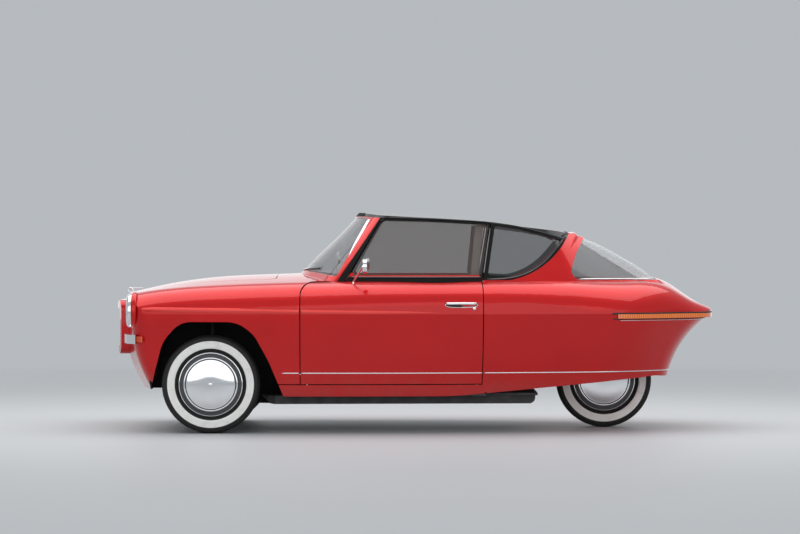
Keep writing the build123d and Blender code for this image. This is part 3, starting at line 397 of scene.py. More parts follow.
GLASS_ALPHA = 0.30
CROWN_FALL = 0.618
CROWN_LINE = 1.161 + 1.042 * CROWN_FALL
WARM = (rgb(0.100, 0.076, 0.068), rgb(0.130, 0.098, 0.088))
GREY = (rgb(0.062, 0.066, 0.070), rgb(0.085, 0.090, 0.095))
make_glass("door_glass", *WARM).wear("door_glass_left", "door_glass_right")
make_glass("window_glass", *GREY).wear("quarter_glass", "windscreen")
make_glass("bubble_glass", *GREY, crown_painted_reflection).wear("rear_glass")


# %% Lamp covers
def make_lamp_cover(name, dark, light, ribs, stretch, alpha=1.0):
    """A clear or coloured cover with moulded ribs, so many to a metre along the axes
    that stretch leaves in."""
    cover = Finish(name, alpha=alpha, coat_weight=1.0, coat_roughness=0.03)
    wave = cover.node("TexWave", {"wave_profile": "SIN", "bands_direction": "DIAGONAL"}, {
        "Vector": cover.place(stretch), "Scale": ribs, "Distortion": 0.0,
    })
    cover.colour(cover.blend(cover.step(wave, 0.1, 0.9), dark, light))
    cover.roughness(cover.noise(40, 3) * 0.12 + 0.12)
    cover.bump(wave, 0.0012, 0.6)
    return cover


lamp_glass = make_lamp_cover(
    "lamp_glass", rgb(0.40, 0.43, 0.46), rgb(0.62, 0.65, 0.68), 26, (0, 1, 0), 0.45
)
lamp_orange = make_lamp_cover(
    "lamp_orange", rgb(0.78, 0.13, 0.01), rgb(0.95, 0.24, 0.02), 30, (1, 1, 0)
)
lamp_red = make_lamp_cover("lamp_red", rgb(0.70, 0.05, 0.01), rgb(0.95, 0.12, 0.02), 40, (1, 1, 0))
lamp_orange.wear("tail_lamp")
lamp_red.wear("front_markers")

# %% [markdown]
# ## Under the car and inside
# The running gear wears satin black paint that has caught road dust. Cast aluminium
# is grey and grainy. Inside, the dashboard is grained plastic and the floor carpet.

# %% Satin black, cast metal and wheel paint
def make_satin(name, dark, light, low, high, grain=220, depth=0.0002, **constants):
    """A dull finish: cloudy between two colours and two roughnesses, with a fine grain."""
    satin = Finish(name, **constants)
    satin.colour(satin.blend(satin.noise(9, 5), dark, light))
    satin.roughness(satin.step(satin.noise(20, 4), 0.2, 0.8, low, high))
    satin.bump(satin.noise(grain, 3), depth, 0.5)
    return satin


satin = make_satin("satin_black", rgb(0.014, 0.014, 0.015), rgb(0.034, 0.033, 0.032), 0.45, 0.75)
satin.wear(
    "battery_pack", "floor_pan", "front_subframe", "front_dampers", "knuckle_left",
    "knuckle_right", "rear_arm", "rear_damper", "steering_column", "steering_rack", "tie_rods",
    "wishbones", "seat_runners",
)
cast = make_satin(
    "cast_metal", rgb(0.40, 0.41, 0.42), rgb(0.56, 0.57, 0.58), 0.35, 0.6, 420, 0.0004, metallic=0.9
)
cast.wear("rear_motor")
wheel_grey = make_satin("wheel_paint", rgb(0.10, 0.10, 0.105), rgb(0.16, 0.16, 0.165), 0.3, 0.45)
wheel_grey.wear("rim_front_left", "rim_front_right", "rim_rear")
dash_skin = make_satin(
    "dash_skin", rgb(0.070, 0.016, 0.016), rgb(0.10, 0.022, 0.020), 0.45, 0.6, 900, 0.0006
)
dash_skin.wear("dashboard")
grip = make_satin(
    "wheel_grip", rgb(0.018, 0.018, 0.019), rgb(0.030, 0.029, 0.028), 0.35, 0.5, 600, 0.0003
)
grip.wear("steering_wheel")
well_black = make_satin(
    "well_black", rgb(0.005, 0.005, 0.005), rgb(0.010, 0.010, 0.010), 0.7, 0.9,
    specular_ior_level=0.2,
)
# A dark grey for rings on the hubcaps' chrome: a painted dark reflection.
painted_reflection_grey = make_satin(
    "painted_reflection_grey", rgb(0.030, 0.031, 0.034), rgb(0.050, 0.052, 0.056), 0.35, 0.5
)
trim_grey = make_satin(
    "trim_grey", rgb(0.16, 0.15, 0.15), rgb(0.22, 0.21, 0.21), 0.30, 0.42, metallic=0.8
)
# A brighter red for the crease: a painted highlight along its top.
crease_painted_highlight = make_paint(
    "crease_painted_highlight_paint", rgb(0.84, 0.050, 0.045), rgb(0.92, 0.080, 0.070), rgb(0.98, 0.25, 0.20)
)
rubber = make_satin(
    "seal_rubber", rgb(0.010, 0.010, 0.010), rgb(0.022, 0.022, 0.021), 0.55, 0.8
)
cloth = make_satin(
    "headliner_cloth", rgb(0.33, 0.31, 0.29), rgb(0.42, 0.40, 0.37), 0.85, 0.95, 1500, 0.0008
)
carpet = make_satin(
    "floor_carpet", rgb(0.035, 0.012, 0.012), rgb(0.075, 0.022, 0.020), 0.9, 1.0, 700, 0.003
)

# %% [markdown]
# ## Tyres
# The rubber is almost black, and a ring of white rubber is let into the outer wall.
# Its edge is a matter of distance from the axle, so the shader measures that
# distance: the root of the squares of the two coordinates round the wheel's middle.

# %% White-walled rubber
WHITE_INNER = 0.2190
WHITE_OUTER = 0.2645
RING_EDGE = 0.0006
AXLE_HEIGHT = 0.300
FRONT_AXLE_X = 1.242
REAR_AXLE_X = -1.200
TRACK_HALF = 0.650


def make_tyre_rubber(name, axle_x, wall_y):
    """Black rubber with a white ring on walls farther than wall_y from the car's middle."""
    tyre = Finish(name, specular_ior_level=0.3)
    x, y, z = tyre.axes()
    radius = ((x - axle_x) ** 2 + (z - AXLE_HEIGHT) ** 2) ** 0.5
    ring = tyre.step(radius, WHITE_INNER - RING_EDGE, WHITE_INNER + RING_EDGE)
    ring = ring * tyre.step(radius, WHITE_OUTER + RING_EDGE, WHITE_OUTER - RING_EDGE)
    ring = ring * tyre.step(abs(y), wall_y, wall_y + EDGE)
    scuff = tyre.noise(22, 5)
    white = tyre.blend(tyre.step(scuff, 0.45, 0.8), rgb(0.88, 0.88, 0.86), rgb(0.76, 0.75, 0.73))
    rubber_colour = tyre.blend(scuff, rgb(0.009, 0.009, 0.009), rgb(0.022, 0.021, 0.020))
    tyre.colour(tyre.blend(ring, rubber_colour, white))
    tyre.roughness(tyre.step(scuff, 0.2, 0.8, 0.50, 0.75))
    tyre.bump(tyre.noise(500, 3), 0.0002, 0.4)
    return tyre


front_rubber = make_tyre_rubber("tyre_rubber_front", FRONT_AXLE_X, TRACK_HALF + 0.02)
rear_rubber = make_tyre_rubber("tyre_rubber_rear", REAR_AXLE_X, 0.02)


# %% Leather
def make_leather(name, dark, light, low, high):
    """Leather: round cells for the grain, broad clouds for the wear, both in one bump."""
    leather = Finish(name, coat_weight=0.15, coat_roughness=0.3)
    cells = leather.node("TexVoronoi", {"feature": "DISTANCE_TO_EDGE"}, {
        "Vector": leather.place(), "Scale": 320,
    })
    worn = leather.noise(7, 5)
    leather.colour(leather.blend(worn, dark, light))
    leather.roughness(leather.step(worn, 0.25, 0.8, low, high))
    leather.bump(leather.step(cells, 0.0, 0.12) + leather.noise(24, 4) * 1.5, 0.0004, 0.6)
    return leather


leather = make_leather(
    "seat_leather", rgb(0.115, 0.082, 0.066), rgb(0.175, 0.130, 0.105), 0.40, 0.60
)
piping_leather = make_leather(
    "piping_leather", rgb(0.42, 0.36, 0.30), rgb(0.50, 0.44, 0.37), 0.40, 0.55
)

# %% [markdown]
# ## Shapes from numpy
# Each new piece is a grid of points worked out with whole-array maths: a turned
# profile, a profile carried along a path, or a sheet. One function turns grids into
# a mesh, closes its seams and points its faces outwards. A look is a slot of the part
# with the finish that goes on it.

# %% Grids to pieces
SIDES = ((1, "left"), (-1, "right"))
UP = (0, 0, 1)
AHEAD = (1, 0, 0)
BACKWARD = (-1, 0, 0)
LEFTWARD = (0, 1, 0)
DEPTH, FLANK, HEIGHT = range(3)
CHROME = ("chrome", chrome)
TRIM = ("chrome", trim_grey)
SEAL = ("black_frame", rubber)
PAINT = ("body_paint", red)
HIDE = ("seat_cover", leather)
PALE = ("lens_glass", cloth)
PAINTED_REFLECTION = ("wheel_paint", painted_reflection_grey)


def make_mesh(name, grids, gap):
    """Joins grids of points (rows, columns, 3) into one smooth mesh.

    Neighbouring points of a grid make a four-sided face. Points nearer than the gap, at
    a seam or a pole, are merged, so a grid whose ends meet closes on itself."""
    points, faces, start = [], [], 0
    for grid in grids:
        rows, columns = grid.shape[:2]
        index = start + np.arange(rows * columns).reshape(rows, columns)
        faces.append(np.stack(
            [index[:-1, :-1], index[1:, :-1], index[1:, 1:], index[:-1, 1:]], -1
        ).reshape(-1, 4))
        points.append(grid.reshape(-1, 3))
        start += rows * columns
    mesh = bpy.data.meshes.new(name)
    mesh.from_pydata(np.concatenate(points).tolist(), [], np.concatenate(faces).tolist())
    merged = bmesh.new()
    merged.from_mesh(mesh)
    bmesh.ops.remove_doubles(merged, verts=merged.verts, dist=gap)
    bmesh.ops.dissolve_degenerate(merged, edges=merged.edges, dist=1e-7)
    bmesh.ops.recalc_face_normals(merged, faces=merged.faces)
    merged.to_mesh(mesh)
    merged.free()
    mesh.shade_smooth()
    return mesh


def make_piece(name, body, look, *grids):
    """Makes a piece of the grids that rides on a body, with the finish of its look."""
    return hand_over(linked(name, make_mesh(name, grids, 2e-6)), body, look)


def hand_over(piece, body, look):
    """Gives a piece the finish of its look, and lets it ride on its body."""
    slot, finish = look
    piece.data.materials.clear()
    piece.data.materials.append(finish.material)
    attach(piece, body)
    return piece


def coordinates(mesh):
    """A mesh's points as an array (count, 3)."""
    values = np.empty(len(mesh.vertices) * 3)
    mesh.vertices.foreach_get("co", values)
    return values.reshape(-1, 3)


def stacked(*values):
    """Points from their coordinates; a plain number counts for every point."""
    return np.stack(np.broadcast_arrays(*values), -1).astype(float)


def tipped(points, angle, middle):
    """Points turned about the Y axis and then moved to a middle."""
    cosine, sine = math.cos(angle), math.sin(angle)
    turn = np.array(((cosine, 0, -sine), (0, 1, 0), (sine, 0, cosine)))
    return points @ turn + np.array(middle)


def squared(value, power):
    """A cosine or a sine raised to a power with its sign kept: a power below one makes
    a circle squarer."""
    return np.sign(value) * np.abs(value) ** power


def turned(profile, axis, middle, steps):
    """Turns a profile about an axis through middle: a point at radius r and distance d
    along the axis goes to d times the axis, plus r times the cosine and the sine of the
    angle along two directions square to it."""
    radius, along = np.asarray(profile, float).T
    axis = np.asarray(axis, float) / np.linalg.norm(axis)
    first = np.cross(axis, UP if abs(axis[2]) < 0.8 else AHEAD)
    first /= np.linalg.norm(first)
    second = np.cross(axis, first)
    angle = np.linspace(0, 2 * np.pi, steps + 1)[None, :, None]
    grid = along[:, None, None] * axis + radius[:, None, None] * (
        np.cos(angle) * first + np.sin(angle) * second
    )
    return grid + np.asarray(middle, float)


def looped(profile):
    """A profile with its first point again at its end, so that the turned ring is solid."""
    profile = np.asarray(profile, float)
    return np.vstack([profile, profile[:1]])


def carried(path, profile, outward):
    """Carries a flat closed profile along a path. At each point of the path one side of
    the profile lies along outward, made square to the path, and the other along the
    cross product of path and outward. Both ends are drawn together to close them."""
    path = np.asarray(path, float)
    along = np.gradient(path, axis=0)
    along /= np.linalg.norm(along, axis=1, keepdims=True)
    out = np.broadcast_to(np.asarray(outward, float), path.shape)
    out = out - (out * along).sum(1, keepdims=True) * along
    out = out / np.linalg.norm(out, axis=1, keepdims=True)
    side = np.cross(along, out)
    loop = looped(profile)[None]
    grid = path[:, None] + loop[..., :1] * side[:, None] + loop[..., 1:] * out[:, None]
    middle = np.broadcast_to(grid.mean(1, keepdims=True), grid.shape)
    return np.concatenate([middle[:1], grid, middle[-1:]])


def closed_slab(grid, thickness, axis):
    """A thin slab: the grid, the same grid moved by the thickness, and the edges."""
    other = grid + np.eye(3)[axis] * thickness
    first, last = (np.stack([grid[:, i], other[:, i]], 1) for i in (0, -1))
    return [np.concatenate([grid, other[::-1], grid[:1]]), first[::-1], last]


def half_round(width, height, sunk=0.001, steps=8):
    """A bead's profile: half an ellipse, with a flat back sunk into what carries it."""
    angle = np.linspace(0, np.pi, steps)
    arc = stacked(np.cos(angle) * width / 2, np.sin(angle) * height)
    return np.vstack([[width / 2, -sunk], arc, [-width / 2, -sunk]])


def hump(width, height, sunk=0.0012, steps=13):
    """A low hump: height times half of one plus cosine, with its foot just sunk in."""
    across = np.linspace(1, -1, steps)
    rise = height * (1 + np.cos(np.pi * across)) / 2 - sunk * np.abs(across) ** 6
    top = stacked(across * width / 2, rise)
    return np.vstack([[width / 2, -2 * sunk], top, [-width / 2, -2 * sunk]])


def soft_bar(width, height, steps=24, power=0.5):
    """A flat bar's profile. A power of one makes it an ellipse, a lower one squarer."""
    angle = np.linspace(0, 2 * np.pi, steps, endpoint=False)
    return stacked(
        squared(np.cos(angle), power) * width / 2, squared(np.sin(angle), power) * height / 2
    )


def round_rod(radius, steps=10):
    """A round profile."""
    angle = np.linspace(0, 2 * np.pi, steps, endpoint=False)
    return stacked(np.cos(angle), np.sin(angle)) * radius


def even(path, step):
    """The same path with points an even step apart, by distance walked along it."""
    path = np.asarray(path, float)
    walked = walk(path)
    spots = np.linspace(0, walked[-1], max(3, int(walked[-1] / step)))
    return stacked(*(np.interp(spots, walked, path[:, i]) for i in range(3)))


def walk(path):
    """The distance walked from a path's start to each of its points."""
    return np.r_[0, np.cumsum(np.linalg.norm(np.diff(path, axis=0), axis=1))]


def eased(path, passes=3):
    """A path with small kinks smoothed: each inner point moves to the mean of itself
    and its neighbours' mean."""
    path = np.array(path, float)
    for _ in range(passes):
        path[1:-1] = (path[1:-1] + (path[:-2] + path[2:]) / 2) / 2
    return path


# %% [markdown]
# ## Lines that lie on the skin
# A chrome strip has to follow the panel that carries it. A flat cut through the
# panels gives that line: each triangle that crosses the cut gives a short segment,
# and a ray from the middle finds the farthest segment at each bearing. A straight
# probe does the same for one point at a time.

# %% Cut lines and probes
def triangles(*names):
    """All triangles of the named nodes as an array (count, 3 corners, 3)."""
    parts = []
    for name in names:
        mesh = nodes[name].data
        mesh.calc_loop_triangles()
        index = np.empty(len(mesh.loop_triangles) * 3, int)
        mesh.loop_triangles.foreach_get("vertices", index)
        parts.append(coordinates(mesh)[index.reshape(-1, 3)])
    return np.concatenate(parts)


def crossed(one, two):
    """The cross product of flat vectors."""
    return one[..., 0] * two[..., 1] - one[..., 1] * two[..., 0]


def cut_line(names, middle, normal, first, start, end, count):
    """The outermost line where a plane through middle cuts the named nodes, between two
    bearings in degrees. A bearing of 0 looks along first, and 90 along the cross
    product of normal and first. A ray meets a segment where the cross product of the
    ray's direction with a point of the segment is zero."""
    middle, normal, first = (np.asarray(v, float) for v in (middle, normal, first))
    normal = normal / np.linalg.norm(normal)
    first = first - (first @ normal) * normal
    first /= np.linalg.norm(first)
    second = np.cross(normal, first)
    corners = triangles(*names) - middle
    level = corners @ normal
    above = level > 0
    split = above.any(1) & ~above.all(1)
    corners, level, above = corners[split], level[split], above[split]
    lone = np.where(above.sum(1) == 1, above.argmax(1), (~above).argmax(1))
    rows = np.arange(len(lone))
    ends = []
    for other in (1, 2):
        far = (lone + other) % 3
        share = level[rows, lone] / (level[rows, lone] - level[rows, far])
        spot = corners[rows, lone] + share[:, None] * (corners[rows, far] - corners[rows, lone])
        ends.append(stacked(spot @ first, spot @ second))
    begin, run = ends[0], ends[1] - ends[0]
    bearing = np.radians(np.linspace(start, end, count))
    ray = stacked(np.cos(bearing), np.sin(bearing))[:, None]
    with np.errstate(divide="ignore", invalid="ignore"):
        share = -crossed(ray, begin) / crossed(ray, run)
        reach = (ray * (begin + share[..., None] * run)).sum(-1)
    met = (share >= -1e-4) & (share <= 1 + 1e-4) & (reach > 0)
    reach = np.where(met, reach, -1).max(1)
    found = reach > 0
    if not found.any():
        raise ValueError(f"no cut through {names}")
    bearing, reach = bearing[found], reach[found]
    return middle + reach[:, None] * (
        np.cos(bearing)[:, None] * first + np.sin(bearing)[:, None] * second
    )


def probe(names, axis, u, v, side=1):
    """Where a straight probe along an axis first meets the named nodes, coming from the
    side given. Seen along the axis, a probe lies inside a triangle when its three area
    shares are positive, and the same shares give its depth."""
    corners = triangles(*names)
    flat = [i for i in range(3) if i != axis]
    a, b, c = (corners[:, i][:, flat] for i in range(3))
    one, two = b - a, c - a
    area = crossed(one, two)
    good = np.abs(area) > 1e-12
    a, one, two, area, corners = a[good], one[good], two[good], area[good], corners[good]
    away = stacked(np.ravel(u), np.ravel(v))[:, None] - a
    share_b = crossed(away, two) / area
    share_c = crossed(one, away) / area
    inside = (share_b > -1e-6) & (share_c > -1e-6) & (share_b + share_c < 1 + 1e-6)
    depth = corners[:, 0, axis] + share_b * (corners[:, 1, axis] - corners[:, 0, axis])
    depth = depth + share_c * (corners[:, 2, axis] - corners[:, 0, axis])
    best = np.where(inside, side * depth, -np.inf).max(1) * side
    missed = ~np.isfinite(best)
    if missed.all():
        raise ValueError(f"no probe meets {names}")
    spots = np.arange(len(best))
    best[missed] = np.interp(spots[missed], spots[~missed], best[~missed])
    return best.reshape(np.shape(u))


def on_flank(names, side, x, z):
    """Points of the side view, carried across onto the named nodes' skin."""
    x, z = np.broadcast_arrays(x, z)
    return stacked(x, probe(names, FLANK, x, z, side), z)


def strip(name, body, look, path, width, height, outward=None, middle=None,
          shape=half_round, taper=(0, 0)):
    """A bead that lies on the skin along a path. It stands outward, or away from a middle.
    Over the two taper lengths its ends grow thin: its profile is scaled by the distance
    from the end, as a share of the taper."""
    path = even(eased(path), 0.02)
    if middle is not None:
        outward = path - np.asarray(middle, float)
    full = carried(path, shape(width, height), outward)
    walked = walk(path)
    share = np.ones(len(path))
    for length, distance in zip(taper, (walked, walked[-1] - walked)):
        if length:
            share *= np.sin(np.clip(distance / length, 0.04, 1) * np.pi / 2)
    share = np.r_[share[:1], share, share[-1:]][:, None, None]
    spine = np.concatenate([path[:1], path, path[-1:]])[:, None]
    return make_piece(name, body, look, spine + (full - spine) * share)


# %% [markdown]
# ## Strips and crease along the flank
# One thin bright strip runs at the height of the wheel hubs from the front wheel to
# the tail. Higher up a low crease runs from the headlight to the door handle and fades
# out: its section is one hump of a cosine, so its foot meets the panel without an edge.
# Its brighter red is a painted highlight along the crease. Both are cut at the door's
# shut lines, so that it can open.

# %% Side strips
STRIP_HEIGHT = 0.370
STRIP_SIZE = (0.007, 0.0028)


def flank_strips(kind, look, spans, count, level, size, **more):
    """Lays a strip on the wing and on the door of both sides, at a level over the floor
    that is worked out from x."""
    for side, word in SIDES:
        for panel, rear, ahead, taper in spans:
            body = f"door_{word}" if panel == "door" else "car_body"
            x = np.linspace(rear, ahead, count)
            path = on_flank([f"{panel}_{word}"], side, x, level(x))
            strip(
                f"{panel}_{kind}_{word}", body, look, path, *size, (0, side, 0),
                taper=taper, **more,
            )


flank_strips(
    "strip", CHROME, (("wing", 0.7005, 0.806, (0, 0)), ("door", -0.4155, 0.6895, (0, 0))),
    60, lambda x: STRIP_HEIGHT, STRIP_SIZE,
)
tail_line = cut_line(["rear_body"], (-0.426, 0, STRIP_HEIGHT), UP, AHEAD, 90.3, 269.7, 300)
strip(
    "tail_strip", "car_body", CHROME, tail_line, *STRIP_SIZE, middle=(-0.9, 0, STRIP_HEIGHT)
)
print("side strips laid")

# %% Crease
CREASE_SIZE = (0.026, 0.0055)


def crease_level(x):
    """The crease climbs a little towards the nose."""
    return 0.742 + 0.016 * np.clip((x - 0.3) / 1.3, 0, 1)


# The crease wears the brighter red, a painted highlight along the flank.
flank_strips(
    "crease", ("body_paint", crease_painted_highlight),
    (("wing", 0.7000, 1.690, (0, 0.12)), ("door", -0.150, 0.6900, (0.5, 0))),
    80, crease_level, CREASE_SIZE, shape=hump,
)

# %% [markdown]
# ## Strips round the tail lamp
# The orange lamp is a band on the widest line of the tail. A dark bead lies over it
# and another under it, a painted shade where a recess would be, and below that one
# more, which is bright.

# %% Lamp beads
for piece_name, look, level, width, depth, start in (
    ("lamp_bead_upper", SEAL, 0.7305, 0.011, 0.0030, 107),
    # Under the lamp: a black bead that is painted shade in place of a recess.
    ("lamp_painted_shade_bead", SEAL, 0.6975, 0.009, 0.0025, 108),
    ("lamp_bead_bright", CHROME, 0.6880, 0.004, 0.0025, 112),
):
    line = cut_line(["rear_body"], (-1.0, 0, level), UP, AHEAD, start, 360 - start, 220)
    strip(piece_name, "car_body", look, line, width, depth, middle=(-1.2, 0, level))

# %% [markdown]
# ## Beads round the glass
# The windscreen has a bright bead down the upper part of each side. Black rails run
# along the roof's edges, dark seals with a thin bright line edge the quarter windows,
# and bright beads edge the rear bubble at its front and its foot.

# %% Windscreen and belt beads
SCREEN_FOOT = np.array((0.478, 0.942))
SCREEN_TOP = np.array((0.274, 1.316))

for side, word in SIDES:
    share = np.linspace(0.36, 0.97, 40)[:, None]
    x, z = (SCREEN_FOOT + share * (SCREEN_TOP - SCREEN_FOOT)).T
    strip(
        f"screen_bead_{word}", "car_body", CHROME,
        on_flank(["windscreen_frame", "windscreen"], side, x, z),
        0.019, 0.006, (0.25, side, 0.2), taper=(0.12, 0),
    )
    strip(
        f"belt_bead_{word}", f"door_{word}", TRIM,
        on_flank([f"door_frame_{word}"], side, np.linspace(-0.410, 0.385, 60), 0.9545),
        0.006, 0.003, (0, side, 0.2),
    )

# %% Roof rails and the quarter beads
QUARTER_LINE = np.array((
    (-0.445, 0.940), (-0.526, 0.943), (-0.618, 0.955), (-0.710, 0.985),
    (-0.802, 1.047), (-0.882, 1.133), (-0.937, 1.200),
))


def flowing(points, count=90, degree=5):
    """A smooth line through side-view points: one polynomial of the distance walked for
    each coordinate."""
    walked = walk(points)
    spots = np.linspace(0, walked[-1], count)
    return [np.polynomial.Polynomial.fit(walked, v, degree)(spots) for v in points.T]


edge = []
for x in np.linspace(0.235, -0.900, 44):
    section = cut_line(["roof_panel"], (x, 0, 1.05), AHEAD, LEFTWARD, 12, 60, 120)
    edge.append(section[section[:, 1].argmax()])
edge = eased(edge, 6)
for side, word in SIDES:
    outward = (0, side, 0.3)
    line = on_flank(["sail_panel"], side, *flowing(QUARTER_LINE))
    strip(
        f"roof_rail_{word}", "car_body", ("black_frame", black), edge * (1, side, 1),
        0.010, 0.005, outward, taper=(0.05, 0.05),
    )
    strip(f"quarter_seal_{word}", "car_body", SEAL, line, 0.014, 0.004, outward)
    strip(
        f"quarter_bead_{word}", "car_body", TRIM, line + (0, side * 0.003, 0),
        0.005, 0.003, outward, taper=(0.06, 0.06),
    )


# %% Rear bubble beads and the hoop over the roof
def glass_bead(name, look, panels, low, high, start, width, depth, **more):
    """A bead where a plane across the car cuts the glasshouse. The plane holds a slanted
    line of the side view. The bead starts at a bearing above the left side's level, and
    ends as far above the right side's."""
    low, high = np.array(low), np.array(high)
    middle = ((low[0] + high[0]) / 2, 0, (low[1] + high[1]) / 2)
    normal = (high[1] - low[1], 0, low[0] - high[0])
    line = cut_line(panels, middle, normal, LEFTWARD, start, 180 - start, 140)
    strip(name, "car_body", look, line, width, depth, middle=middle, **more)


glass_bead(
    "bubble_bead_front", CHROME, ["rear_glass"], (-0.901, 0.75), (-1.062, 1.195),
    44, 0.009, 0.004, taper=(0.02, 0.02),
)
glass_bead(
    "hoop", PAINT, ["sail_panel"], (-0.787, 0.62), (-1.016, 1.26),
    26, 0.072, 0.012, shape=hump, taper=(0.24, 0.24),
)
glass_bead(
    "hoop_edge_front", SEAL, ["sail_panel", "roof_panel"], (-0.605, 0.997), (-0.956, 1.231),
    22, 0.010, 0.006,
)
bubble_line = cut_line(["rear_glass"], (-1.20, 0, 0.941), UP, AHEAD, 70, 290, 260)
strip(
    "bubble_bead_foot", "car_body", CHROME, bubble_line, 0.007, 0.003,
    middle=(-1.2, 0, 0.80), taper=(0.05, 0.05),
)
print("glass beads laid")

# %% [markdown]
# ## Cowl corners and pillar trims
# Beside the windscreen's foot the cowl runs on under the screen frame. That corner is
# a thin slab: it keeps the cowl's height, measured by probes at the cowl's rear edge,
# and ends under the frame. Inside the door glass a beige trim covers the pillar.

# %% Cowl corners and pillar trims
COWL_REAR = 0.6402
PILLAR_FOOT = 0.935

for side, word in SIDES:
    share, y = np.meshgrid(np.linspace(0, 1, 9), np.linspace(0.380, 0.611, 22), indexing="ij")
    depth = 0.030 + np.clip(y - 0.380, 0, 1) * 0.45
    rise = probe(["cowl_panel"], HEIGHT, np.full(22, COWL_REAR + 0.003), side * y[0])
    top = stacked(COWL_REAR - share * depth, side * y, rise + share * 0.003)
    make_piece(f"cowl_corner_{word}", "car_body", PAINT, *closed_slab(top, -0.003, HEIGHT))
    z = np.linspace(PILLAR_FOOT, 1.270, 20)
    lean = stacked(-0.370 - (z - PILLAR_FOOT) * 0.09, side * (0.573 - (z - PILLAR_FOOT) * 0.33), z)
    make_piece(
        f"pillar_trim_{word}", "car_body", ("roof_paint", cloth),
        carried(lean, soft_bar(0.050, 0.012), (0, side, 0.3)),
    )
print("corners and trims laid")

# %% [markdown]
# ## Tyres with tread
# A tyre is a turned profile. Round the tread the radius dips in four grooves, and
# short cross cuts come and go with the angle. The white ring stands a little proud.

# %% Tyres
TYRE_RADIUS = 0.300
RIM_RADIUS = 0.200
TYRE_HALF = 0.070
WALL_MIDDLE = RIM_RADIUS + 0.036
FLATNESS = 0.46
BEAD_ANGLE = 0.40
GROOVES = (-0.036, -0.013, 0.013, 0.036)
GROOVE_DEPTH = 0.006
CUT_DEPTH = 0.004
CROSS_CUTS = 64
WHITE_RISE = 0.0012


def tyre_surface(steps=5 * CROSS_CUTS):
    """Radius and width of the tyre by angle and by distance round its section.

    The section is a rounded box: width is half times cosine of t, flattened by a power,
    and radius goes from the bead to the crown by sine of t, flattened the same way.
    The values of t are worked back from even steps of radius on the walls and even
    steps of width over the tread, so that the narrow grooves are not stepped over.
    Grooves are narrow dips by width; cross cuts are dips by angle on the shoulders."""
    bead = np.sin(BEAD_ANGLE) ** FLATNESS
    low_wall = -np.arcsin(np.linspace(bead, 0.04, 6) ** (1 / FLATNESS))
    high_wall = np.arcsin(np.linspace(0.04, 0.66, 10) ** (1 / FLATNESS))
    crown = np.arccos(squared(np.linspace(0.942, -0.942, 57), 1 / FLATNESS))
    wall = np.r_[low_wall, high_wall]
    t = np.r_[wall, crown, np.pi - wall[::-1]]
    width = TYRE_HALF * squared(np.cos(t), FLATNESS)
    rise = np.where(np.sin(t) > 0, TYRE_RADIUS - WALL_MIDDLE, (WALL_MIDDLE - RIM_RADIUS) / bead)
    radius = WALL_MIDDLE + rise * squared(np.sin(t), FLATNESS)
    width = width * (0.72 + 0.28 * np.clip((radius - RIM_RADIUS) / 0.026, 0, 1))
    angle = np.linspace(0, 2 * np.pi, steps + 1)
    tread = np.clip((radius - 0.290) / 0.006, 0, 1)
    groove = sum(np.exp(-(((width - spot) / 0.0024) ** 2)) for spot in GROOVES)
    dip = GROOVE_DEPTH * np.clip(groove, 0, 1) * tread
    swing = np.mod(angle[None] * CROSS_CUTS / (2 * np.pi) + width[:, None] * 6, 1)
    shoulder = np.clip((np.abs(width) - 0.030) / 0.010, 0, 1)[:, None]
    cut = np.exp(-(((swing - 0.5) / 0.10) ** 2)) * shoulder
    wall_rise = WHITE_RISE * np.clip(1 - (np.abs(radius - 0.2408) / 0.0235) ** 12, 0, 1)
    full = (radius - dip)[:, None] - CUT_DEPTH * cut * tread[:, None]
    side = np.clip(width + np.sign(width) * wall_rise, -TYRE_HALF, TYRE_HALF)[:, None]
    grid = stacked(full * np.cos(angle), side, full * np.sin(angle))
    return np.concatenate([grid, grid[:1]])


tyre_grid = tyre_surface()
for place, x, y, finish in (
    ("front_left", FRONT_AXLE_X, TRACK_HALF, front_rubber),
    ("front_right", FRONT_AXLE_X, -TRACK_HALF, front_rubber),
    ("rear", REAR_AXLE_X, 0, rear_rubber),
):
    tyre = make_piece(
        f"whitewall_tyre_{place}", f"wheel_{place}", ("tyre", finish),
        tyre_grid + (x, y, AXLE_HEIGHT),
    )
    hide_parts(f"tyre_{place}")
print("tyre triangles", len(tyre.data.polygons) * 2)

# %% [markdown]
# ## Hubcaps and splash shields
# A mirror shows every facet, so the hubcaps are turned again with a smooth section.
# Between the dome and the outer bead, and in the groove, a dark grey ring lies on the
# chrome: a painted dark reflection. Behind each front wheel a black shield closes the
# arch towards the middle of the car.

# %% Hubcaps and shields
DOME_RADIUS = 0.150
DOME_CROWN = 0.7306
DOME_FALL = 0.0146
CAP_GAUGE = 0.002
CAP_ROLLS = np.array((
    (0.150, 0.7160), (0.1545, 0.7166), (0.159, 0.7186), (0.1635, 0.7172), (0.167, 0.7144),
    (0.1725, 0.7112), (0.178, 0.7100), (0.184, 0.7106), (0.190, 0.7117), (0.1955, 0.7096),
    (0.199, 0.7040),
))
HOLLOW = (
    (0.1645, 0.7150), (0.1665, 0.7165), (0.1740, 0.7120), (0.1830, 0.7122), (0.1890, 0.7128),
    (0.1905, 0.7115), (0.1830, 0.7080), (0.1740, 0.7062),
)
GROOVE = (
    (0.1500, 0.7162), (0.1530, 0.7172), (0.1560, 0.7190), (0.1570, 0.7185), (0.1535, 0.7150),
)
BUTTON = (
    (0.0, 0.7300), (0.0115, 0.7300), (0.0125, 0.7320), (0.0110, 0.7336), (0.0060, 0.7347),
    (0.0, 0.7350),
)


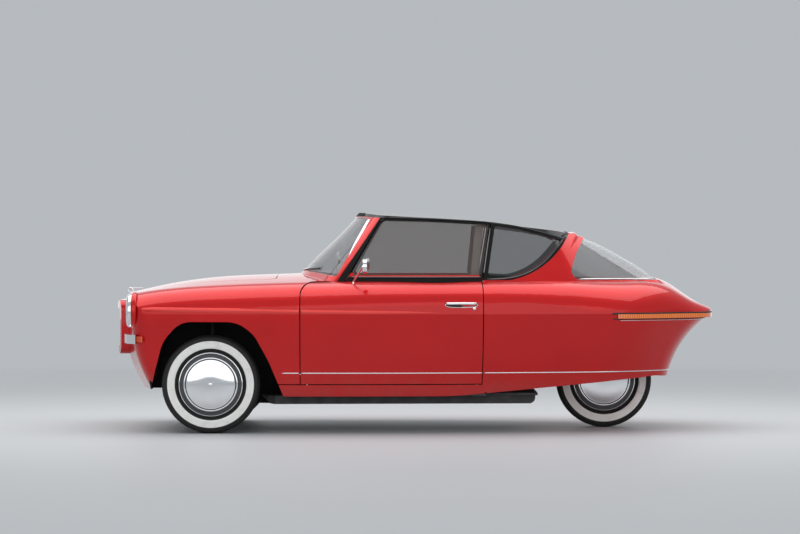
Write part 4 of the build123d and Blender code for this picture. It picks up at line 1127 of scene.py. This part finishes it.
def cap_profile(dome_points, roll_points):
    """A hubcap's front line. Over the dome the metal falls with the cube of the radius,
    so its middle is almost flat, and the rolls round it are rounded off."""
    radius = np.linspace(0, DOME_RADIUS, dome_points)
    dome = stacked(radius, DOME_CROWN - DOME_FALL * (radius / DOME_RADIUS) ** 3)
    fine = np.linspace(0, len(CAP_ROLLS) - 1, 41)
    rolls = eased(
        stacked(*(np.interp(fine, np.arange(len(CAP_ROLLS)), v) for v in CAP_ROLLS.T)), 5
    )
    chosen = np.linspace(0, 40, roll_points).round().astype(int)
    return np.vstack([dome, rolls[chosen][1:]])


cap_back = cap_profile(8, 11)[::-1] - (0, CAP_GAUGE)
CAP = np.vstack([cap_profile(20, 31), cap_back])
for place, x, side, offset in (
    ("front_left", FRONT_AXLE_X, 1, 0),
    ("front_right", FRONT_AXLE_X, -1, 0),
    ("rear", REAR_AXLE_X, 1, -TRACK_HALF),
):
    # The hollow and groove rings wear the dark grey, a painted reflection on the chrome.
    for kind, look, profile, steps in (
        ("cover", CHROME, CAP, 112), ("hollow", PAINTED_REFLECTION, looped(HOLLOW), 112),
        ("groove", PAINTED_REFLECTION, looped(GROOVE), 112), ("button", CHROME, BUTTON, 48),
    ):
        ring = turned(
            np.array(profile) + (0, offset), (0, side, 0), (x, 0, AXLE_HEIGHT), steps
        )
        cap = make_piece(f"hubcap_{kind}_{place}", f"wheel_{place}", look, ring)
        if kind == "cover":
            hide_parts(f"hubcap_{place}")
for side, word in SIDES:
    x, z = np.meshgrid(np.linspace(0.790, 1.010, 12), np.linspace(0.170, 0.480, 12), indexing="ij")
    shield = stacked(x, side * (0.386 + 0.004 * np.cos((x - 0.9) * 28)), z)
    make_piece(
        f"splash_shield_{word}", "car_body", ("running_gear", well_black),
        *closed_slab(shield, side * 0.003, FLANK),
    )

# %% [markdown]
# ## Headlights
# Behind the ribbed cover sits a bright bowl with a small lamp at its focus. The bowl
# is a parabola turned about its axis: depth is the square of the radius.

# %% Bowls, bulbs and covers
LAMP_X = 1.700
LAMP_Y = 0.598
LAMP_Z = 0.746
LAMP_RADIUS = 0.0850
BULB_RADIUS = 0.011
BUCKET = (
    (0.0990, 1.698), (0.1162, 1.698), (0.1165, 1.712), (0.1145, 1.723), (0.1090, 1.730),
    (0.1040, 1.731), (0.0990, 1.730),
)
BEZEL = (
    (0.1060, 1.722), (0.1062, 1.735), (0.1030, 1.747), (0.0970, 1.756), (0.0900, 1.761),
    (0.0850, 1.7605), (0.0830, 1.756), (0.0835, 1.740), (0.0990, 1.722),
)


def dish(reach, top, bulge, points, inner, gauge):
    """A dish's closed section: bulge times the square of the radius beyond top, and a
    back line that is drawn in by a share and set back by the gauge."""
    radius = np.linspace(0, LAMP_RADIUS * reach, points)
    line = top + bulge * (radius / LAMP_RADIUS) ** 2
    back = stacked(radius[::-1] * inner, line[::-1] - gauge)
    return looped(np.vstack([stacked(radius, line), back]))


angle = np.linspace(-np.pi / 2, np.pi / 2, 14)
BULB = stacked(BULB_RADIUS * np.cos(angle), LAMP_X + 0.034 + BULB_RADIUS * np.sin(angle))
for side, word in SIDES:
    for kind, look, profile, steps, replaced in (
        ("cover", ("lens_glass", lamp_glass), dish(1, LAMP_X + 0.061, -0.010, 24, 0.97, 0.004),
         72, "headlight_lenses"),
        ("bowl", CHROME, dish(0.95, LAMP_X + 0.021, 0.026, 20, 1, 0.002), 72, None),
        ("bucket", PAINT, looped(BUCKET), 128, None),
        ("bezel", CHROME, looped(BEZEL), 128, "headlight_rings"),
        ("bulb", PALE, BULB, 32, None),
    ):
        ring = turned(profile, AHEAD, (0, side * LAMP_Y, LAMP_Z), steps)
        lamp = make_piece(f"lamp_{kind}_{word}", "car_body", look, ring)
        if replaced:
            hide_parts(replaced)

# %% [markdown]
# ## Seats
# A seat cushion starts as a box with very round corners. Cloth simulation with a
# little pressure inside blows it up, so the middle crowns and the edges draw in.
# Only then are the sewn channels pressed in, because they are finer than the voxels.

# %% Cushion simulation
SEAT_PRESSURE = 4.0
SEAT_FRAMES = 20
CHANNEL_SPACING = 0.058
CHANNEL_DEPTH = 0.010
PIPING_RADIUS = 0.0042


def soft_box(half_x, half_y, half_z, power=0.30, rows=48, columns=96):
    """A box with round corners: each coordinate is a cosine or sine product, raised to
    a small power, which squares the ball off."""
    lift = np.linspace(-np.pi / 2, np.pi / 2, rows)[:, None]
    turn = np.linspace(0, 2 * np.pi, columns + 1)[None]
    around = squared(np.cos(lift), power)
    return stacked(
        half_x * around * squared(np.cos(turn), power),
        half_y * around * squared(np.sin(turn), power), half_z * squared(np.sin(lift), power),
    )


def blown_up(name, half, voxel, cap):
    """The points and faces of a cushion after a pressure simulation, moved cap at most."""
    cushion = linked(name, make_mesh(name, [soft_box(*half)], 1e-5))
    remesh = cushion.modifiers.new("remesh", "REMESH")
    remesh.mode = "VOXEL"
    remesh.voxel_size = voxel
    bpy.context.view_layer.update()
    mesh = bpy.data.meshes.new_from_object(
        cushion.evaluated_get(bpy.context.evaluated_depsgraph_get())
    )
    cushion.modifiers.clear()
    cushion.data = mesh
    rest = coordinates(mesh)
    cloth_pad = cushion.modifiers.new("cloth", "CLOTH")
    cloth_pad.settings.use_pressure = True
    cloth_pad.settings.uniform_pressure_force = SEAT_PRESSURE
    cloth_pad.settings.effector_weights.gravity = 0
    cloth_pad.settings.quality = 4
    cloth_pad.settings.tension_stiffness = 12
    cloth_pad.point_cache.frame_end = SEAT_FRAMES
    for step in range(1, SEAT_FRAMES + 1):
        bpy.context.scene.frame_set(step)
    settled = cushion.evaluated_get(bpy.context.evaluated_depsgraph_get())
    travel = coordinates(settled.data) - rest
    bpy.context.scene.frame_set(1)
    cushion.modifiers.clear()
    length = np.linalg.norm(travel, axis=1, keepdims=True)
    return cushion, rest + travel * np.minimum(1, cap / np.maximum(length, 1e-9))


def channels(points, half_x, half_y):
    """Presses sewn channels into the upper face: a dip along x every spacing of y, and
    one that runs round, inside the edge."""
    x, y, z = points.T
    reach_x, reach_y = np.abs(x) / half_x, np.abs(y) / half_y
    top = np.clip(z / np.abs(z).max() * 3 - 1, 0, 1)
    inner = np.clip((0.80 - reach_x) / 0.03, 0, 1) * np.clip((0.78 - reach_y) / 0.03, 0, 1)
    phase = np.mod(y / CHANNEL_SPACING + 0.5, 1) - 0.5
    groove = np.exp(-((phase * CHANNEL_SPACING / 0.006) ** 2)) * inner
    edge = np.maximum(reach_x / 0.82, reach_y / 0.80)
    frame_seam = np.exp(-(((edge - 1) / 0.025) ** 2))
    pressed = points.copy()
    pressed[:, 2] -= CHANNEL_DEPTH * top * np.clip(groove + frame_seam, 0, 1)
    return pressed


def place_cushion(name, form, angle, middle, *nodes_replaced):
    """Makes a finished padded piece of a form, turned about Y and moved to its middle."""
    cushion, points = form
    mesh = cushion.data.copy()
    mesh.name = name
    placed = tipped(points, angle, middle)
    mesh.vertices.foreach_set("co", placed.astype(np.float32).ravel())
    mesh.shade_smooth()
    mesh.update()
    piece = hand_over(linked(name, mesh), "car_body", HIDE)
    finer = piece.modifiers.new("finer", "SUBSURF")
    finer.levels = finer.render_levels = 1
    if nodes_replaced:
        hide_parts(*nodes_replaced)


def edge_piping(name, half_x, half_y, lift, angle, middle):
    """A round piping cord along the upper edge of a cushion: a squared ring."""
    turn = np.linspace(0, 2 * np.pi, 120)
    ring = stacked(half_x * squared(np.cos(turn), 0.22), half_y * squared(np.sin(turn), 0.22), lift)
    make_piece(
        name, "car_body", ("seat_cover", piping_leather),
        carried(tipped(ring, angle, middle), round_rod(PIPING_RADIUS, 8),
                (-math.sin(angle), 0, math.cos(angle))),
    )


# %% Front and rear seats
BASE = (0.230, 0.192, 0.060)
BACK = (0.270, 0.192, 0.048)
REAR_BASE = (0.085, 0.238, 0.100)
REAR_BACK = (0.175, 0.238, 0.032)
BASE_ANGLE = 0.04
BACK_ANGLE = -math.radians(90 - 14)
forms = [
    blown_up(name, half, voxel, cap) for name, half, voxel, cap in (
        ("seat_base_form", BASE, 0.006, 0.014), ("seat_back_form", BACK, 0.006, 0.014),
        ("rear_base_form", REAR_BASE, 0.007, 0.010), ("rear_back_form", REAR_BACK, 0.007, 0.010),
    )
]
base, back = (
    (pad, channels(points, *half[:2])) for (pad, points), half in zip(forms, (BASE, BACK))
)
for side, word in SIDES:
    base_middle = (-0.010, side * 0.300, 0.400)
    back_middle = (-0.372, side * 0.300, 0.700)
    place_cushion(f"seat_base_{word}", base, BASE_ANGLE, base_middle, f"seat_{word}")
    edge_piping(f"seat_base_piping_{word}", 0.226, 0.190, 0.052, BASE_ANGLE, base_middle)
    place_cushion(f"seat_back_{word}", back, BACK_ANGLE, back_middle)
    edge_piping(f"seat_back_piping_{word}", 0.266, 0.190, 0.040, BACK_ANGLE, back_middle)
place_cushion("rear_seat_base", forms[2], 0, (-0.50, 0, 0.350), "rear_seat")
place_cushion("rear_seat_back", forms[3], BACK_ANGLE, (-0.672, 0, 0.640))
for pad, _ in forms:
    bpy.data.objects.remove(pad)
print("seats made")

# %% [markdown]
# ## The cabin's lining
# The roof is lined with pale cloth, the floor with carpet, and the doors with padded
# cards that carry an armrest and a pull. All are thin sheets a little off the panel.

# %% Roof lining and carpet
x, y = np.meshgrid(np.linspace(-0.90, 0.22, 60), np.linspace(-0.40, 0.40, 40), indexing="ij")
lining = np.clip(probe(["roof_panel", "sail_panel"], HEIGHT, x, y, -1) - 0.004, 1.10, 1.33)
make_piece(
    "roof_lining", "car_body", ("dash_skin", cloth),
    *closed_slab(stacked(x, y, lining), -0.004, HEIGHT),
)
x, y = np.meshgrid(np.linspace(-0.395, 0.755, 46), np.linspace(-0.57, 0.57, 40), indexing="ij")
rolls = 0.2425 + 0.0008 * np.sin(x * 40) * np.sin(y * 34)
make_piece(
    "floor_carpet", "car_body", ("floor_steel", carpet),
    *closed_slab(stacked(x, y, rolls), 0.007, HEIGHT),
)

# %% Door cards, armrests and pulls
BUTTON_X, BUTTON_Z = -0.365, 0.766
ROLL_DEPTH = 0.006

for side, word in SIDES:
    door = f"door_{word}"
    x, z = np.meshgrid(np.linspace(-0.375, 0.650, 86), np.linspace(0.335, 0.870, 40), indexing="ij")
    inner = probe([door], FLANK, x, z, -side)
    inner = np.where(side * inner > 0.61, side * 0.598, inner)
    pleat = ROLL_DEPTH * np.abs(np.sin(x * 52)) * np.clip((z - 0.47) / 0.01, 0, 1)
    pleat = pleat * np.clip((0.74 - z) / 0.01, 0, 1)
    pleat = pleat * np.clip((0.60 - np.abs(x - 0.13)) / 0.02, 0, 1)
    rim = sum(ROLL_DEPTH * np.exp(-(((z - level) / 0.008) ** 2)) for level in (0.755, 0.455))
    card = stacked(x, inner - side * (0.004 + pleat + rim), z)
    make_piece(f"door_card_{word}", door, HIDE, *closed_slab(card, side * 0.004, FLANK))
    swell = np.sin(np.linspace(0, np.pi, 40))
    arm = stacked(np.linspace(-0.20, 0.22, 40), side * 0.565, 0.640 + 0.012 * swell)
    bolster = soft_bar(0.052, 0.038, 20, 1)
    make_piece(f"armrest_{word}", door, HIDE, carried(arm, bolster, UP))
    bow = 0.022 * np.sin(np.linspace(0, np.pi, 16))
    pull = stacked(np.linspace(0.30, 0.39, 16), side * (0.585 - bow), 0.700)
    make_piece(f"door_pull_{word}", door, CHROME, carried(pull, round_rod(0.006), UP))
    button = stacked(
        (0, 0.009, 0.0105, 0.011, 0.011, 0),
        side * np.array((0.016, 0.0155, 0.013, 0.010, -0.004, -0.004)),
    )
    spot = on_flank([door], side, [BUTTON_X], [BUTTON_Z])[0]
    make_piece(f"door_button_{word}", door, CHROME, turned(button, LEFTWARD, spot, 40))
print("doors lined")

# %% [markdown]
# ## Door handles
# A handle is a bar that stands off the door over a dark oval, whose edge is a thin
# bright bead. The oval is a black plate laid on the skin, a painted shadow where a recess
# would be. The hand goes behind the bar, and the button is pressed by a thumb.

# %% Handles
HANDLE_X, HANDLE_Z = -0.287, 0.788
HANDLE_HALF = 0.094
SHADOW_PLATE_Z = HANDLE_Z - 0.003

for side, word in SIDES:
    door = f"door_{word}"
    turn = np.linspace(0, 2 * np.pi, 73)
    ring = on_flank(
        [door], side, HANDLE_X + (HANDLE_HALF + 0.004) * squared(np.cos(turn), 0.6),
        SHADOW_PLATE_Z + 0.0135 * np.sin(turn),
    )
    share = np.linspace(0, 1, 6)[:, None]
    # The black oval plate just off the skin: a painted shadow under the handle.
    painted_shadow_plate = stacked(
        HANDLE_X + share * (ring[:, 0] - HANDLE_X), ring[:, 1] + side * 0.0012,
        SHADOW_PLATE_Z + share * (ring[:, 2] - SHADOW_PLATE_Z),
    )
    back = painted_shadow_plate[::-1] - (0, side * 0.003, 0)
    make_piece(f"handle_painted_shadow_{word}", door, SEAL, np.concatenate([painted_shadow_plate, back]))
    make_piece(
        f"handle_ring_{word}", door, CHROME, carried(ring, round_rod(0.0022, 8), (0, side, 0.1))
    )
    reach = np.linspace(-1, 1, 40)
    bar = on_flank(
        [door], side, HANDLE_X + HANDLE_HALF * reach, HANDLE_Z + 0.006 + 0.002 * (1 - reach ** 2)
    )
    bar[:, 1] += side * 0.026 * (1 - np.abs(reach) ** 5)
    handle = make_piece(
        f"handle_bar_{word}", door, CHROME,
        carried(bar, soft_bar(0.015, 0.010, 12, 1), (0, side, 0)),
    )
    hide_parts(f"door_handle_{word}")

# %% [markdown]
# ## Wipers and the inner mirror
# Two wipers rest along the foot of the windscreen. The mirror stands on the dashboard,
# a rounded shell about a hand high, on a thin stalk.

# %% Wipers
for side, word in SIDES:
    share = np.linspace(0, 1, 24)
    y, z = side * (0.06 + 0.34 * share), 0.992 + 0.012 * share
    blade = stacked(probe(["windscreen"], DEPTH, y, z) + 0.007, y, z)
    root = np.array((0.700, side * 0.02, 0.966))
    arm = root + share[:, None] * (blade[12] + (0.006, 0, 0.004) - root)
    arm = arm + np.sin(np.pi * share)[:, None] * (0.008, 0, 0.010)
    for kind, look, path, radius in (
        ("blade", SEAL, blade, 0.0045), ("arm", CHROME, arm, 0.0035),
    ):
        make_piece(
            f"wiper_{kind}_{word}", "car_body", look, carried(path, round_rod(radius, 8), (1, 0, 1))
        )

# %% Inner mirror
stalk = even(((0.505, 0, 0.915), (0.500, 0, 0.960), (0.490, 0, 1.010), (0.478, 0, 1.045)), 0.008)
make_piece("inner_mirror_stalk", "car_body", CHROME, carried(stalk, round_rod(0.004), LEFTWARD))
shell = tipped(soft_box(0.011, 0.100, 0.040, 0.55, 24, 48), math.radians(8), (0.474, 0, 1.066))
make_piece("inner_mirror", "car_body", CHROME, shell)

# %% [markdown]
# ## Dashboard and steering wheel
# One large dial sits before the driver and two small ones beside it. Each has a chrome
# rim, a dark face and pale ticks, spread evenly over three quarters of a turn.

# %% Dials
DASH_X = 0.4751
RIM = ((1.0, -0.004), (1.06, 0.004), (1.0, 0.011), (0.93, 0.008), (0.92, -0.004))
for dial, y, z, size, ticks in (
    ("speed_dial", 0.335, 0.845, 0.056, 21), ("charge_dial", 0.205, 0.840, 0.033, 11),
    ("clock_dial", 0.120, 0.840, 0.033, 12),
):
    middle = (DASH_X, y, z)
    rim = turned(looped(RIM) * (size, 1), BACKWARD, middle, 72)
    make_piece(f"{dial}_rim", "car_body", CHROME, rim)
    face = ((0, 0.004), (size * 0.95, 0.004), (size * 0.95, -0.004), (0, -0.004))
    face = turned(face, BACKWARD, middle, 48)
    make_piece(f"{dial}_face", "car_body", ("dash_skin", rubber), face)
    marks = []
    for bearing in np.radians(np.linspace(-135, 135, ticks)):
        reach = size * np.array((0.74, 0.80, 0.86))
        tick = stacked(DASH_X - 0.005, y + np.sin(bearing) * reach, z + np.cos(bearing) * reach)
        marks.append(carried(tick, round_rod(size * 0.018, 5), BACKWARD))
    reach = size * 0.5 * np.array((0, 0.5, 1))
    needle = stacked(DASH_X - 0.007, y - reach, z - reach)
    marks.append(carried(needle, round_rod(size * 0.022, 6), BACKWARD))
    make_piece(f"{dial}_marks", "car_body", PALE, *marks)

# %% Horn ring, pedals and the dashboard's edge roll
WHEEL_MIDDLE = (0.345, 0.335, 0.830)
WHEEL_AXIS = (-math.cos(math.radians(28)), 0, math.sin(math.radians(28)))
horn = looped(round_rod(0.0032, 8) + (0.098, 0.006))
boss = ((0, 0.030), (0.018, 0.029), (0.026, 0.024), (0.030, 0.014), (0.030, 0.0), (0, 0.0))
for piece_name, profile, steps in (("horn_ring", horn, 96), ("horn_button", boss, 64)):
    make_piece(
        piece_name, "steering_wheel", CHROME, turned(profile, WHEEL_AXIS, WHEEL_MIDDLE, steps)
    )
for piece_name, y in (("brake_pedal", 0.300), ("drive_pedal", 0.215)):
    lever = even(((0.748, y, 0.560), (0.728, y, 0.460), (0.690, y, 0.370)), 0.012)
    pad = soft_box(0.006, 0.026, 0.040, 0.35, 16, 32)
    pad = pad @ np.array(((0.88, 0, 0.47), (0, 1, 0), (-0.47, 0, 0.88))) + (0.684, y, 0.356)
    make_piece(
        piece_name, "car_body", ("running_gear", satin),
        carried(lever, round_rod(0.006), LEFTWARD), pad,
    )
roll = stacked(DASH_X - 0.002, np.linspace(-0.585, 0.585, 60), 0.912)
make_piece("dashboard_roll", "car_body", HIDE, carried(roll, round_rod(0.013, 14), UP))
lid = stacked(DASH_X - 0.001, (-0.48, -0.16, -0.16, -0.48, -0.48), (0.77, 0.77, 0.87, 0.87, 0.77))
lid = eased(even(lid, 0.01), 2)
make_piece("glovebox_bead", "car_body", CHROME, carried(lid, round_rod(0.002, 6), BACKWARD))
print("cabin dressed")
